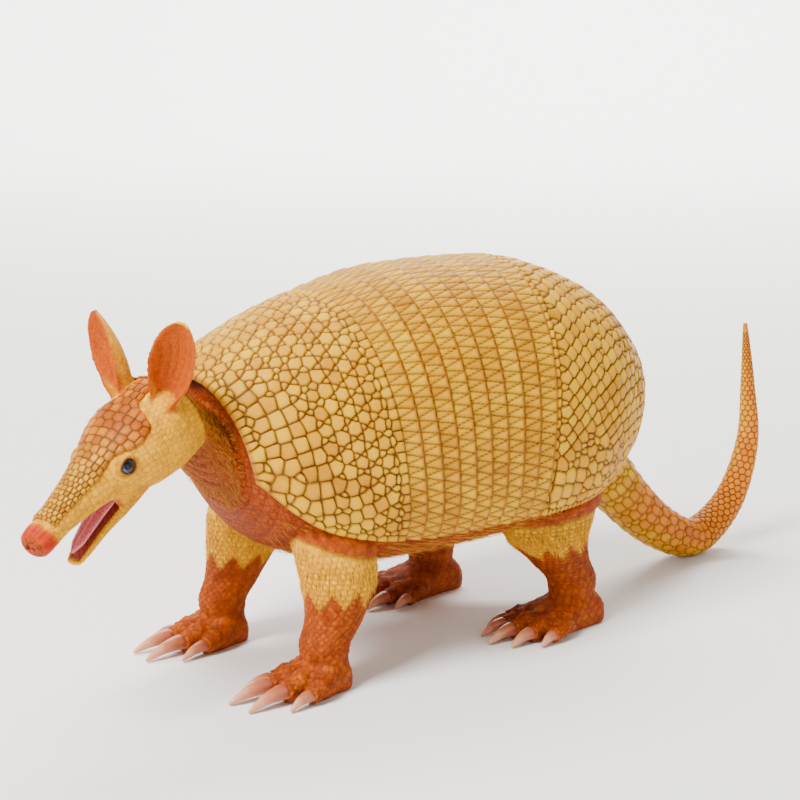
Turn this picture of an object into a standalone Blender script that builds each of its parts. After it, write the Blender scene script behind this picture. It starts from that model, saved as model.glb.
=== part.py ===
"""Nine-banded armadillo, life size, standing on four feet, in separate solid pieces.

Metres, +Z up. The floor is Z = 0, the nose points towards -Y and the animal's left is +X.
The origin is on the floor under the middle of the whole animal, tail included.
"""

import math

import bmesh
import bpy
from mathutils import Matrix, Vector

# Driving sizes
FLOOR_SIZE = 1.2  # of the block that cuts the soles flat
GAP = 0.0004  # clearance left wherever two pieces meet
SHELL_THICK, BAND_THICK = 0.0026, 0.0022  # bony armour with its horn cover
SHELL_FACETS = 16  # from one lower edge over the back to the other
MIDDLE_Y = 0.0468  # from the animal's own zero to the middle of its whole length

# The trunk is a row of cross sections from the neck opening (0) to the tail root (1):
# share of the shell, Y, Z of the widest level, lean of the section back from upright in degrees,
# half width, height above the widest level, depth below it
BODY = (
    (0.00, -0.108, 0.123, -16, 0.0455, 0.0455, 0.0440),
    (0.10, -0.082, 0.114, -12, 0.0615, 0.0690, 0.0530),
    (0.28, -0.036, 0.105, -6, 0.0745, 0.0955, 0.0550),
    (0.46, 0.012, 0.101, 0, 0.0795, 0.1110, 0.0520),
    (0.64, 0.060, 0.100, 9, 0.0810, 0.1130, 0.0500),
    (0.78, 0.098, 0.098, 20, 0.0770, 0.1030, 0.0480),
    (0.89, 0.130, 0.094, 32, 0.0630, 0.0800, 0.0430),
    (0.96, 0.153, 0.088, 42, 0.0430, 0.0510, 0.0340),
    (1.00, 0.168, 0.081, 48, 0.0245, 0.0265, 0.0230),
)
BODY_POWER = 2.25  # roundness of a section: 2 is an ellipse, more is squarer
SHOULDER_END = 0.290
RUMP_START = 0.640
BANDS = 9
BAND_DIP = 0.0014  # a band's front edge lies this far under the one before it
PLATE_GAP = 0.0009  # soft skin that shows between two plates of the shell
SHELL_LENGTH = 0.29  # along the shell's side, to turn that gap into a share of the shell
TRUNK_SIDES, TRUNK_SPANS = 18, 13
TRUNK_END = 0.985  # share where the flesh ends and the tail's armour starts
SHELL_EDGE = (  # share of the shell, degrees from the top of the back to the shell's lower edge
    (0.00, 100),
    (0.06, 112),
    (0.16, 119),
    (0.45, 117),
    (0.70, 116),
    (0.86, 114),
    (1.00, 112),
)

# The head is a row of sections from the nose tip (0) to the nape (1):
# share of the head, half width, height above the head's line, depth below it
HEAD_LENGTH = 0.107
HEAD_PITCH = math.radians(29)  # nose down
HEAD_YAW = math.radians(14)  # turned to the animal's left
NAPE = Vector((0.006, -0.1335, 0.1500))
NECK_TUCK = 0.010  # the flesh draws in this far from the shell where the neck comes out
NECK_RINGS, NECK_WAIST = 5, 0.06
NECK_TUCK_END = 0.062  # share of the body where that starts, ahead of the front legs
HEAD = (
    (0.000, 0.0050, 0.0044, 0.0044),
    (0.025, 0.0084, 0.0078, 0.0068),
    (0.070, 0.0092, 0.0086, 0.0068),
    (0.150, 0.0088, 0.0084, 0.0062),
    (0.300, 0.0106, 0.0108, 0.0072),
    (0.430, 0.0135, 0.0140, 0.0096),
    (0.560, 0.0188, 0.0180, 0.0148),
    (0.700, 0.0240, 0.0212, 0.0208),
    (0.850, 0.0248, 0.0224, 0.0238),
    (1.000, 0.0228, 0.0216, 0.0245),
)
HEAD_POWER = 2.2
HEAD_SIDES = 18
HEAD_SHARES = (0, 0.012, 0.035, 0.08, 0.16, 0.26, 0.35, 0.44, 0.52, 0.6, 0.69, 0.79, 0.89, 0.995)
SHIELD_THICK = 0.0012
SHIELD_LIFT = 0.0009  # its underside clears the head's facets by this much
SHIELD_EDGE = (  # share of the head, degrees from its top to the edge of its horny plate
    (0.12, 54),
    (0.40, 54),
    (0.52, 44),
    (0.64, 57),
    (0.73, 52),
    (0.81, 16),
    (0.97, 13),
)

EYE_RADIUS = 0.0052
EYE_AT, EYE_ANGLE, EYE_SUNK = 0.545, 71, 0.0034  # share of the head, degrees from its top, depth

JAW_HINGE_AT, JAW_HINGE_DROP = 0.63, 0.0100
JAW_LENGTH = 0.0535
JAW_OPEN = math.radians(15)
JAW_POWER, JAW_SIDES = 2.3, 12
JAW_SHARES = (0, 0.18, 0.36, 0.54, 0.72, 0.87, 0.96, 1)
JAW = (  # share from the hinge to the tip, half width, height, depth
    (0.00, 0.0150, 0.0035, 0.0100),
    (0.30, 0.0122, 0.0030, 0.0080),
    (0.60, 0.0082, 0.0024, 0.0055),
    (0.85, 0.0063, 0.0020, 0.0040),
    (0.96, 0.0050, 0.0016, 0.0030),
    (1.00, 0.0028, 0.0008, 0.0014),
)
TONGUE_DEPTH, TONGUE_RISE = 0.0009, 0.0006
TONGUE = (  # share of the jaw, half width, height
    (0.10, 0.0095, 0.0019),
    (0.30, 0.0082, 0.0019),
    (0.50, 0.0062, 0.0018),
    (0.70, 0.0048, 0.0017),
    (0.84, 0.0037, 0.0014),
    (0.92, 0.0022, 0.0009),
)

EAR_LENGTH = 0.048
EAR_THICK = 0.0016
EAR_AT, EAR_ANGLE, EAR_SUNK = 0.890, 42, 0.0050  # share of the head, degrees from its top, depth
EAR_RISE = (0.88, 0.40, -0.30)  # the way it grows: up, outwards and forward on the head
EAR_FACES = (0.99, 0.12)  # the way its hollow faces: forward and a little outwards
EAR_BULGE = 0.0035  # the ear's back bows out this much at mid height
EAR = (  # share of the ear, radius of its curl, half angle of the curl in degrees
    (0.00, 0.0062, 150),
    (0.14, 0.0078, 126),
    (0.34, 0.0112, 96),
    (0.58, 0.0130, 80),
    (0.78, 0.0122, 66),
    (0.92, 0.0088, 58),
    (1.00, 0.0032, 54),
)

TAIL_ROUTE = (
    Vector((0.000, 0.1690, 0.0800)),
    Vector((0.000, 0.1950, 0.0520)),
    Vector((-0.002, 0.2290, 0.0255)),
    Vector((-0.005, 0.2660, 0.0118)),
    Vector((-0.006, 0.2990, 0.0305)),
    Vector((-0.004, 0.3130, 0.0680)),
    Vector((-0.001, 0.3080, 0.1080)),
    Vector((0.003, 0.2990, 0.1500)),
)
TAIL_ROOT, TAIL_TIP = 0.0188, 0.0013
TAIL_TAPER = 0.86
TAIL_LONG = 0.28  # along its route, to turn a gap into a share of it
TAIL_LENGTHS = 6
TAIL_SIDES, TAIL_SPANS = 12, 4  # facets round each length and along it

# Legs, from inside the trunk down to the ankle: X, Y, Z, half width, half depth
FRONT_LEG = (
    (0.035, -0.054, 0.104, 0.0195, 0.0240),
    (0.040, -0.056, 0.080, 0.0195, 0.0235),
    (0.0455, -0.057, 0.056, 0.0180, 0.0205),
    (0.0485, -0.0625, 0.036, 0.0145, 0.0155),
    (0.0490, -0.0690, 0.0225, 0.0135, 0.0130),
)
HIND_LEG = (
    (0.040, 0.094, 0.102, 0.0220, 0.0420),
    (0.044, 0.090, 0.078, 0.0215, 0.0380),
    (0.048, 0.088, 0.058, 0.0185, 0.0280),
    (0.0500, 0.0965, 0.040, 0.0140, 0.0185),
    (0.0510, 0.1050, 0.0255, 0.0125, 0.0150),
)
RIGHT_HIND_STEP = -0.022  # the right hind foot stands this much further forward
# Feet: distance behind the ankle (+) or ahead of it (-), half width, height of the top
FRONT_FOOT = (
    (0.0125, 0.0085, 0.0120),
    (0.0075, 0.0130, 0.0185),
    (-0.0010, 0.0150, 0.0205),
    (-0.0090, 0.0175, 0.0175),
    (-0.0165, 0.0180, 0.0130),
    (-0.0200, 0.0150, 0.0100),
)
HIND_FOOT = (
    (0.0200, 0.0075, 0.0120),
    (0.0130, 0.0120, 0.0190),
    (0.0010, 0.0140, 0.0215),
    (-0.0140, 0.0165, 0.0180),
    (-0.0270, 0.0195, 0.0130),
    (-0.0310, 0.0145, 0.0100),
)
SOLE_CUT = 0.003  # feet are modelled this far into the floor, then cut flat
INSTEP_LOW = 0.009  # how far down inside the foot its ankle reaches
LEG_POWER, FOOT_POWER, TOE_POWER = 2.1, 2.6, 2.2  # roundness of their sections
LEG_SIDES, FOOT_SIDES, TOE_SIDES, CLAW_SIDES = 14, 10, 7, 6
# Toes from the inside outwards: root across, root along, heading outwards in degrees, toe length,
# toe radius, claw length, claw radius
FRONT_TOES = (
    (-0.0142, -0.0115, -11, 0.0105, 0.0050, 0.0165, 0.0040),
    (-0.0050, -0.0165, -4, 0.0130, 0.0060, 0.0245, 0.0050),
    (0.0056, -0.0160, 4, 0.0130, 0.0060, 0.0235, 0.0049),
    (0.0148, -0.0105, 12, 0.0100, 0.0049, 0.0150, 0.0039),
)
HIND_TOES = (
    (-0.0166, -0.0205, -13, 0.0118, 0.0047, 0.0125, 0.0037),
    (-0.0090, -0.0285, -6, 0.0125, 0.0052, 0.0165, 0.0043),
    (0.0004, -0.0310, 0, 0.0135, 0.0055, 0.0180, 0.0046),
    (0.0098, -0.0280, 6, 0.0125, 0.0052, 0.0160, 0.0043),
    (0.0172, -0.0195, 13, 0.0122, 0.0045, 0.0115, 0.0035),
)

# A toe's sections: share of its length, height of the centre and size as shares of its radius
TOE = ((-0.4, 1.5, 0.95), (0.3, 1.5, 1.06), (1.0, 0.98, 0.84))
CLAW_SHARES = (0, 0.3, 0.6, 0.88, 1)  # of a claw's length, where its sections stand
CLAW_TIP = 0.00035  # radius left at the claw's tip
CLAW_TIP_HEIGHT = 0.0010
CLAW_ARCH = 0.0011  # the claw's back bows up this much
CLAW_BLUNT = 0.62  # power of its taper: lower keeps it thick for longer

# Colour, roughness of each finish
HORN = ((0.55, 0.34, 0.12), 0.55)
SKIN = ((0.42, 0.19, 0.07), 0.65)
CLAW_HORN = ((0.62, 0.42, 0.29), 0.40)
EYE_DARK = ((0.02, 0.012, 0.008), 0.08)
TONGUE_PINK = ((0.70, 0.27, 0.25), 0.35)


def material(name, finish):
    """The named Principled material, made once."""
    found = bpy.data.materials.get(name)
    if found:
        return found
    made = bpy.data.materials.new(name)
    made.use_nodes = True
    shader = made.node_tree.nodes["Principled BSDF"]
    shader.inputs["Base Color"].default_value = (*finish[0], 1)
    shader.inputs["Roughness"].default_value = finish[1]
    shader.inputs["Metallic"].default_value = 0
    return made


def read_table(table, at):
    """The table's values at this share, on smooth curves that never overshoot its rows."""
    at = min(max(at, table[0][0]), table[-1][0])
    low = max(i for i in range(len(table) - 1) if table[i][0] <= at)
    step = table[low + 1][0] - table[low][0]
    t = (at - table[low][0]) / step
    values = []
    for column in range(1, len(table[0])):
        slopes = []
        for row in (low, low + 1):
            if row in (0, len(table) - 1):
                near = low
                slopes.append((table[near + 1][column] - table[near][column]) / step)
                continue
            before = (table[row][column] - table[row - 1][column]) / (table[row][0] - table[row - 1][0])
            after = (table[row + 1][column] - table[row][column]) / (table[row + 1][0] - table[row][0])
            same_way = before * after > 0
            slopes.append(2 * before * after / (before + after) if same_way else 0.0)
        start, end = table[low][column], table[low + 1][column]
        values.append(
            start * (2 * t**3 - 3 * t**2 + 1)
            + end * (3 * t**2 - 2 * t**3)
            + step * (slopes[0] * (t**3 - 2 * t**2 + t) + slopes[1] * (t**3 - t**2))
        )
    return values


SIDEWAYS, FORWARDS, UPWARDS = Vector((1, 0, 0)), Vector((0, -1, 0)), Vector((0, 0, 1))


def signed_power(value, power):
    return math.copysign(abs(value) ** power, value)


def section_point(centre, side, up, sizes, angle, power):
    """The point of a rounded section at this angle from its top. sizes: half width, height, depth."""
    across = signed_power(math.sin(angle), 2 / power) * sizes[0]
    lift = signed_power(math.cos(angle), 2 / power)
    return centre + side * across + up * lift * (sizes[1] if lift > 0 else sizes[2])


def ring(centre, side, up, sizes, power, count):
    return [
        section_point(centre, side, up, sizes, 2 * math.pi * i / count, power) for i in range(count)
    ]


def finish_mesh(name, shape, finish, hidden=False):
    """Turns a bmesh into a named object with smooth shading, among the pieces or the cutters."""
    bmesh.ops.recalc_face_normals(shape, faces=shape.faces)
    mesh = bpy.data.meshes.new(name)
    shape.to_mesh(mesh)
    shape.free()
    mesh.shade_smooth()
    piece = bpy.data.objects.new(name, mesh)
    piece.location.y = -MIDDLE_Y
    if hidden:
        cutters.objects.link(piece)
        piece.hide_render = True
        piece.display_type = "WIRE"
    else:
        animal.objects.link(piece)
        mesh.materials.append(material(*finish))
    return piece


def loft(name, rings, finish, hidden=False):
    """A closed solid over a row of rings with equal counts, capped at both ends."""
    shape = bmesh.new()
    rows = [[shape.verts.new(point) for point in points] for points in rings]
    count = len(rows[0])
    for near, far in zip(rows, rows[1:]):
        for i in range(count):
            shape.faces.new((near[i], near[(i + 1) % count], far[(i + 1) % count], far[i]))
    shape.faces.new(rows[0])
    shape.faces.new(rows[-1])
    return finish_mesh(name, shape, finish, hidden)


def patch(name, place, rows, columns, thick, finish):
    """A plate: a grid bent by place(along, across), each from 0 to 1, and thickened inwards."""
    shape = bmesh.new()
    bmesh.ops.create_grid(shape, x_segments=columns, y_segments=rows, size=0.5)
    for corner in shape.verts:
        corner.co = place(corner.co.y + 0.5, corner.co.x + 0.5)
    plate = finish_mesh(name, shape, finish)
    outwards = plate.data.polygons[len(plate.data.polygons) // 2]
    wall = plate.modifiers.new("wall", "SOLIDIFY")
    wall.thickness = thick
    inside = place(0.5, 0.5) - place(0.5, 0.5, -thick)
    wall.offset = -1 if outwards.normal.dot(inside) > 0 else 1
    wall.use_even_offset = True
    return plate


def combine(piece, other, operation):
    change = piece.modifiers.new(operation.lower(), "BOOLEAN")
    change.operation = operation
    change.object = other
    return piece


# Trunk and shell


def body_point(at, angle, out=0.0):
    """A point of the trunk's outer surface, out metres beyond it."""
    y, z, lean, *sizes = read_table(BODY, at)
    lean = math.radians(lean)
    up = Vector((0, math.sin(lean), math.cos(lean)))
    sizes = [size + out for size in sizes]
    return section_point(Vector((0, y, z)), SIDEWAYS, up, sizes, angle, BODY_POWER)


def flesh_ring(at, out, count):
    """A ring of the flesh under the shell, out metres beyond it."""
    tuck = NECK_TUCK * max(0.0, 1 - at / NECK_TUCK_END) ** 1.5
    inset = SHELL_THICK + BAND_DIP + GAP + tuck
    return [body_point(at, 2 * math.pi * i / count, out - inset) for i in range(count)]


def shell_place(start, end, dip):
    """Where a shell plate between two shares of the body puts its grid. dip sinks its front edge."""

    def place(along, across, out=0.0):
        at = start + (end - start) * along
        edge = math.radians(read_table(SHELL_EDGE, at)[0])
        return body_point(at, edge * (2 * across - 1), out - dip * (1 - along))

    return place


def make_trunk():
    stations = [TRUNK_END * i / TRUNK_SPANS for i in range(TRUNK_SPANS + 1)]
    loft("trunk", [flesh_ring(at, 0, TRUNK_SIDES) for at in stations], ("skin", SKIN))
    return loft("trunk_room", [flesh_ring(at, GAP, TRUNK_SIDES) for at in stations], None, hidden=True)


def make_shell():
    finish = ("horn", HORN)
    step = PLATE_GAP / SHELL_LENGTH
    patch("shoulder_shield", shell_place(0.0, SHOULDER_END, 0), 6, SHELL_FACETS, SHELL_THICK, finish)
    width = (RUMP_START - SHOULDER_END) / BANDS
    for i in range(BANDS):
        start = SHOULDER_END + width * i
        place = shell_place(start + step, start + width, BAND_DIP)
        patch(f"band_{i + 1}", place, 1, SHELL_FACETS, BAND_THICK, finish)
    rump = shell_place(RUMP_START + step, 1.0, 0)
    patch("rump_shield", rump, 10, SHELL_FACETS, SHELL_THICK, finish)


# Head


def head_axes(pitch):
    """Forward, left and up of the head, or of the jaw at its own pitch."""
    turn = Matrix.Rotation(HEAD_YAW, 3, "Z") @ Matrix.Rotation(pitch, 3, "X")
    return turn @ FORWARDS, turn @ SIDEWAYS, turn @ UPWARDS


def head_point(at, angle, out=0.0):
    """A point of the head's surface. at runs from the nose (0) to the nape (1)."""
    forward, left, up = head_axes(HEAD_PITCH)
    sizes = [size + out for size in read_table(HEAD, at)]
    centre = NAPE + forward * HEAD_LENGTH * (1 - at)
    return section_point(centre, left, up, sizes, angle, HEAD_POWER)


def head_ring(at, out, count):
    return [head_point(at, 2 * math.pi * i / count, out) for i in range(count)]


def eye_centre(side):
    return head_point(EYE_AT, side * math.radians(EYE_ANGLE), -EYE_SUNK)


def make_eye(name, side, radius, hidden=False):
    shape = bmesh.new()
    bmesh.ops.create_uvsphere(shape, u_segments=10, v_segments=7, radius=radius)
    bmesh.ops.translate(shape, verts=shape.verts, vec=eye_centre(side))
    return finish_mesh(name, shape, ("eye", EYE_DARK), hidden)


def make_jaw(head_room):
    forward, left, up = head_axes(HEAD_PITCH)
    hinge = NAPE + forward * HEAD_LENGTH * (1 - JAW_HINGE_AT) - up * JAW_HINGE_DROP
    forward, left, up = head_axes(HEAD_PITCH + JAW_OPEN)
    rings = [
        ring(hinge + forward * JAW_LENGTH * share, left, up, read_table(JAW, share), JAW_POWER, JAW_SIDES)
        for share in JAW_SHARES
    ]
    combine(loft("jaw", rings, ("skin", SKIN)), head_room, "DIFFERENCE")

    tongue = []
    for share, width, height in TONGUE:
        lift = read_table(JAW, share)[1] + TONGUE_DEPTH + GAP + TONGUE_RISE * share
        centre = hinge + forward * JAW_LENGTH * share + up * lift
        tongue.append(ring(centre, left, up, (width, height, TONGUE_DEPTH), JAW_POWER, JAW_SIDES))
    combine(loft("tongue", tongue, ("tongue", TONGUE_PINK)), head_room, "DIFFERENCE")


def make_ear(name, side, head_room):
    forward, left, up = head_axes(HEAD_PITCH)
    root = head_point(EAR_AT, side * math.radians(EAR_ANGLE), -EAR_SUNK)
    rise = (up * EAR_RISE[0] + left * side * EAR_RISE[1] + forward * EAR_RISE[2]).normalized()
    opening = forward * EAR_FACES[0] + left * side * EAR_FACES[1]
    opening = (opening - rise * opening.dot(rise)).normalized()
    across = rise.cross(opening).normalized()
    root_radius = EAR[0][1]

    def place(along, sideways, out=0.0):
        radius, half = read_table(EAR, along)
        angle = math.radians(half) * (2 * sideways - 1)
        bulge = EAR_BULGE * math.sin(math.pi * along)
        spine = root + rise * EAR_LENGTH * along + opening * (radius - root_radius - bulge)
        around = -opening * math.cos(angle) + across * math.sin(angle)
        return spine + around * (radius + out)

    ear = patch(name, place, 8, 8, EAR_THICK, ("skin", SKIN))
    return combine(ear, head_room, "DIFFERENCE")


def make_head():
    head = loft("head", [head_ring(at, 0, HEAD_SIDES) for at in HEAD_SHARES], ("skin", SKIN))
    room = [head_ring(at, GAP, HEAD_SIDES) for at in HEAD_SHARES]
    head_room = loft("head_room", room, None, hidden=True)
    for name, side in (("left", 1), ("right", -1)):
        make_eye(f"eye_{name}", side, EYE_RADIUS)
        combine(head, make_eye(f"eye_room_{name}", side, EYE_RADIUS + GAP, hidden=True), "DIFFERENCE")
        make_ear(f"ear_{name}", side, head_room)
    make_jaw(head_room)

    def shield_place(along, across, out=0.0):
        at = SHIELD_EDGE[0][0] + (SHIELD_EDGE[-1][0] - SHIELD_EDGE[0][0]) * along
        edge = math.radians(read_table(SHIELD_EDGE, at)[0])
        return head_point(at, edge * (2 * across - 1), SHIELD_LIFT + SHIELD_THICK + out)

    shield = patch("head_shield", shield_place, 11, 6, SHIELD_THICK, ("horn", HORN))
    combine(shield, head_room, "DIFFERENCE")
    return head_room


def make_neck():
    """The neck runs from the trunk's front section to the nape, and fits both."""
    count = HEAD_SIDES
    start, end = flesh_ring(0.0, 0, count), head_ring(1.0, 0, count)
    back = Vector((0, GAP, 0))
    rings = []
    for i in range(NECK_RINGS):
        t = i / (NECK_RINGS - 1)
        waist = 1 - NECK_WAIST * math.sin(math.pi * t)
        points = [(a - back).lerp(b, t) for a, b in zip(start, end)]
        middle = sum(points, Vector()) / count
        rings.append([middle + (point - middle) * waist for point in points])
    loft("neck", rings, ("skin", SKIN))


# Legs and feet


def leg_ring(row, x_side, step, count):
    x, y, z, half_width, half_depth = row
    centre = Vector((x * x_side, y + step, z))
    return ring(centre, SIDEWAYS, FORWARDS, (half_width, half_depth, half_depth), LEG_POWER, count)


def toe_route(foot, x_side, toe):
    """The toe's root and its heading on the floor."""
    across, along, heading, *_ = toe
    heading = math.radians(heading)
    way = Vector((math.sin(heading) * x_side, -math.cos(heading), 0))
    return foot + Vector((across * x_side, along, 0)), way


def make_toe(name, foot, x_side, toe):
    root, way = toe_route(foot, x_side, toe)
    _, _, _, length, radius, _, _ = toe
    side = UPWARDS.cross(way)
    rings = []
    for share, height, size in TOE:
        centre = root + way * length * share + UPWARDS * radius * height
        tilt = UPWARDS if share < 1 else (UPWARDS + way * 0.35).normalized()
        sizes = (radius * size * 0.96, radius * size, radius * size)
        rings.append(ring(centre, side, tilt, sizes, TOE_POWER, TOE_SIDES))
    return loft(name, rings, None, hidden=True)


def make_claw(name, foot, x_side, toe):
    root, way = toe_route(foot, x_side, toe)
    _, _, _, toe_length, toe_radius, length, radius = toe
    start = root + way * (toe_length + GAP * 1.5) + UPWARDS * toe_radius
    side = UPWARDS.cross(way)
    rings = []
    for share in CLAW_SHARES:
        fall = share**1.25
        size = radius * (1 - share) ** CLAW_BLUNT + CLAW_TIP
        centre = start + way * length * share
        arch = CLAW_ARCH * math.sin(math.pi * share)
        centre.z = start.z * (1 - fall) + CLAW_TIP_HEIGHT * fall + arch
        tilt = (UPWARDS + way * (0.35 + 0.25 * share)).normalized()
        rings.append(ring(centre, side, tilt, (size * 0.82, size, size * 0.8), 2.0, CLAW_SIDES))
    loft(name, rings, ("claw", CLAW_HORN))


def make_leg(kind, side_name, x_side, shapes, step, trunk_room, floor):
    """One leg, its foot and its claws. x_side is 1 on the left."""
    sections, foot_rows, toes = shapes
    last = len(sections) - 1
    leg = loft(
        f"{kind}_leg_{side_name}",
        [leg_ring(row, x_side, step * i / last, LEG_SIDES) for i, row in enumerate(sections)],
        ("skin", SKIN),
    )
    combine(leg, trunk_room, "DIFFERENCE")

    x, y, z, *_ = sections[-1]
    ankle = Vector((x * x_side, y + step, 0))
    rings = []
    for along, width, top in foot_rows:
        half = (top + SOLE_CUT) / 2
        centre = ankle - FORWARDS * along + UPWARDS * (top - half)
        rings.append(ring(centre, SIDEWAYS, UPWARDS, (width, half, half), FOOT_POWER, FOOT_SIDES))
    foot = loft(f"{kind}_foot_{side_name}", rings, ("skin", SKIN))

    foot_top = leg_ring(sections[-1], x_side, step, FOOT_SIDES)
    instep = [[point + UPWARDS * (height - z) for point in foot_top] for height in (INSTEP_LOW, z - GAP)]
    combine(foot, loft(f"instep_{kind}_{side_name}", instep, None, hidden=True), "UNION")
    for i, toe in enumerate(toes):
        part = make_toe(f"toe_{kind}_{side_name}_{i + 1}", ankle, x_side, toe)
        combine(foot, part, "UNION")
        make_claw(f"claw_{kind}_{side_name}_{i + 1}", ankle, x_side, toe)
    combine(foot, floor, "DIFFERENCE")


def make_floor_cutter():
    """A block under the floor, which cuts every sole flat."""
    shape = bmesh.new()
    bmesh.ops.create_cube(shape, size=FLOOR_SIZE)
    bmesh.ops.translate(shape, verts=shape.verts, vec=-UPWARDS * FLOOR_SIZE / 2)
    return finish_mesh("floor_cutter", shape, None, hidden=True)


# Tail


def tail_place(share):
    """Centre, side and up of the tail's section, and its radius, at a share of its route."""
    last = len(TAIL_ROUTE) - 1
    where = min(max(share, 0.0), 1.0) * last
    i = min(int(where), last - 1)
    t = where - i
    a, b = TAIL_ROUTE[i], TAIL_ROUTE[i + 1]
    before = TAIL_ROUTE[i - 1] if i else a * 2 - b
    after = TAIL_ROUTE[i + 2] if i + 2 <= last else b * 2 - a
    m0, m1 = (b - before) / 2, (after - a) / 2
    centre = (
        a * (2 * t**3 - 3 * t**2 + 1)
        + m0 * (t**3 - 2 * t**2 + t)
        + b * (3 * t**2 - 2 * t**3)
        + m1 * (t**3 - t**2)
    )
    way = (
        a * (6 * t**2 - 6 * t)
        + m0 * (3 * t**2 - 4 * t + 1)
        + b * (6 * t - 6 * t**2)
        + m1 * (3 * t**2 - 2 * t)
    ).normalized()
    side = (SIDEWAYS - way * way.x).normalized()
    radius = TAIL_TIP + (TAIL_ROOT - TAIL_TIP) * (1 - share) ** TAIL_TAPER
    return centre, side, side.cross(way), radius


def make_tail(floor):
    for i in range(TAIL_LENGTHS):
        start = i / TAIL_LENGTHS + (GAP / TAIL_LONG if i else 0)
        end = (i + 1) / TAIL_LENGTHS
        rings = []
        for j in range(TAIL_SPANS + 1):
            centre, side, up, radius = tail_place(start + (end - start) * j / TAIL_SPANS)
            rings.append(ring(centre, side, up, (radius, radius, radius), 2.0, TAIL_SIDES))
        length = loft(f"tail_{i + 1}", rings, ("horn", HORN))
        if min(point.z for points in rings for point in points) < 0:
            combine(length, floor, "DIFFERENCE")


for left_over in list(bpy.data.objects):
    bpy.data.objects.remove(left_over)
animal = bpy.data.collections.new("armadillo")
cutters = bpy.data.collections.new("cutters")
bpy.context.scene.collection.children.link(animal)
bpy.context.scene.collection.children.link(cutters)

floor_cutter = make_floor_cutter()
trunk_cutter = make_trunk()
make_shell()
make_head()
make_neck()
for side_label, sign in (("left", 1), ("right", -1)):
    front = (FRONT_LEG, FRONT_FOOT, FRONT_TOES)
    hind = (HIND_LEG, HIND_FOOT, HIND_TOES)
    hind_step = 0.0 if sign > 0 else RIGHT_HIND_STEP
    make_leg("front", side_label, sign, front, 0.0, trunk_cutter, floor_cutter)
    make_leg("hind", side_label, sign, hind, hind_step, trunk_cutter, floor_cutter)
make_tail(floor_cutter)
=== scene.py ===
import math

import bmesh
import bpy
import numpy as np
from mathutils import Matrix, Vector, kdtree
from mathutils.bvhtree import BVHTree


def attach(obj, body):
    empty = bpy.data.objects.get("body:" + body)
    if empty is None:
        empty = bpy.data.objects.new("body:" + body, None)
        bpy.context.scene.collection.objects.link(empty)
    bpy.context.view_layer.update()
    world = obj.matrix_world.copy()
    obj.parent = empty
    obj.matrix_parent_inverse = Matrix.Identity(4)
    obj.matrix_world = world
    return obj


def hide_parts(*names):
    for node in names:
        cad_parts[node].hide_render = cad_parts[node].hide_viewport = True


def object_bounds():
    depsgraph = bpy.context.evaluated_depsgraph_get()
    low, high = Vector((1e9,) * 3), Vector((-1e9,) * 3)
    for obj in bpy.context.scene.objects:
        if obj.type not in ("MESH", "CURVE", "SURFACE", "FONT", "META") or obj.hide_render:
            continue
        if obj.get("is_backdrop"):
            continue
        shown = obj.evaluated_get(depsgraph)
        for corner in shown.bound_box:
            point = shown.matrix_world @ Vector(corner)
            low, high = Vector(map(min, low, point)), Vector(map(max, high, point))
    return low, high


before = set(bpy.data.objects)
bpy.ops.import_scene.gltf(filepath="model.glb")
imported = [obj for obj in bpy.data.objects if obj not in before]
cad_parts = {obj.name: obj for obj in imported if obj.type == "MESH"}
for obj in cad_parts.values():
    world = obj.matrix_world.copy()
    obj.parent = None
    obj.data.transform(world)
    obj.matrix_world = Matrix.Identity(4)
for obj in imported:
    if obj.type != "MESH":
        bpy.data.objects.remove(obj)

cad_low, cad_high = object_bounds()


# Camera, floor and light
#
# A low three-quarter view from the animal's left front, close to eye level. It stands on a plain pale
# studio floor under one broad soft light from the front, a fill, a light behind and one on the backdrop.
middle = (cad_low + cad_high) / 2
camera_turn, camera_rise = math.radians(52), math.radians(13)
camera_distance = 1.075
aim_above_middle = 0.024
aim_to_the_right = -0.0215


def add_object(name, data):
    """An object with this data, in the scene."""
    made = bpy.data.objects.new(name, data)
    bpy.context.scene.collection.objects.link(made)
    return made


def look_at(watcher, target):
    """Turns a camera or a lamp towards a place."""
    watcher.rotation_euler = (watcher.location - target).to_track_quat("Z", "Y").to_euler()


level = math.cos(camera_rise)
towards_camera = Vector(
    (math.sin(camera_turn) * level, -math.cos(camera_turn) * level, math.sin(camera_rise))
)
sideways = Vector((math.cos(camera_turn), math.sin(camera_turn), 0)) * aim_to_the_right
camera = add_object("camera", bpy.data.cameras.new("camera"))
camera.data.lens = 85
camera.data.clip_start = 0.05
camera.location = middle + sideways + towards_camera * camera_distance
look_at(camera, middle + sideways + Vector((0, 0, aim_above_middle)))
bpy.context.scene.camera = camera


def linear(hex_colour):
    """An sRGB hex colour as the linear colour that a shader takes."""
    values = [int(hex_colour[i : i + 2], 16) / 255 for i in (1, 3, 5)]
    return [v / 12.92 if v <= 0.04045 else ((v + 0.055) / 1.055) ** 2.4 for v in values] + [1.0]


def plug(node, inputs):
    """Gives a node's inputs their values and colours, or links them from other nodes' outputs."""
    for name, value in inputs.items():
        if isinstance(value, bpy.types.NodeSocket):
            node.id_data.links.new(value, node.inputs[name])
        else:
            node.inputs[name].default_value = linear(value) if isinstance(value, str) else value


def add_node(tree, kind, inputs=None, stops=(), give=0, **settings):
    """Adds a node with its settings and inputs, and a ramp's stops, and gives back one of its outputs."""
    added = tree.nodes.new("ShaderNode" + kind)
    for name, value in settings.items():
        setattr(added, name, value)
    plug(added, inputs or {})
    for i, (place, colour) in enumerate(stops):
        steps = added.color_ramp.elements
        step = steps[i] if i < len(steps) else steps.new(place)
        step.position = place
        step.color = linear(colour)
    return added.outputs[give]


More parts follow.
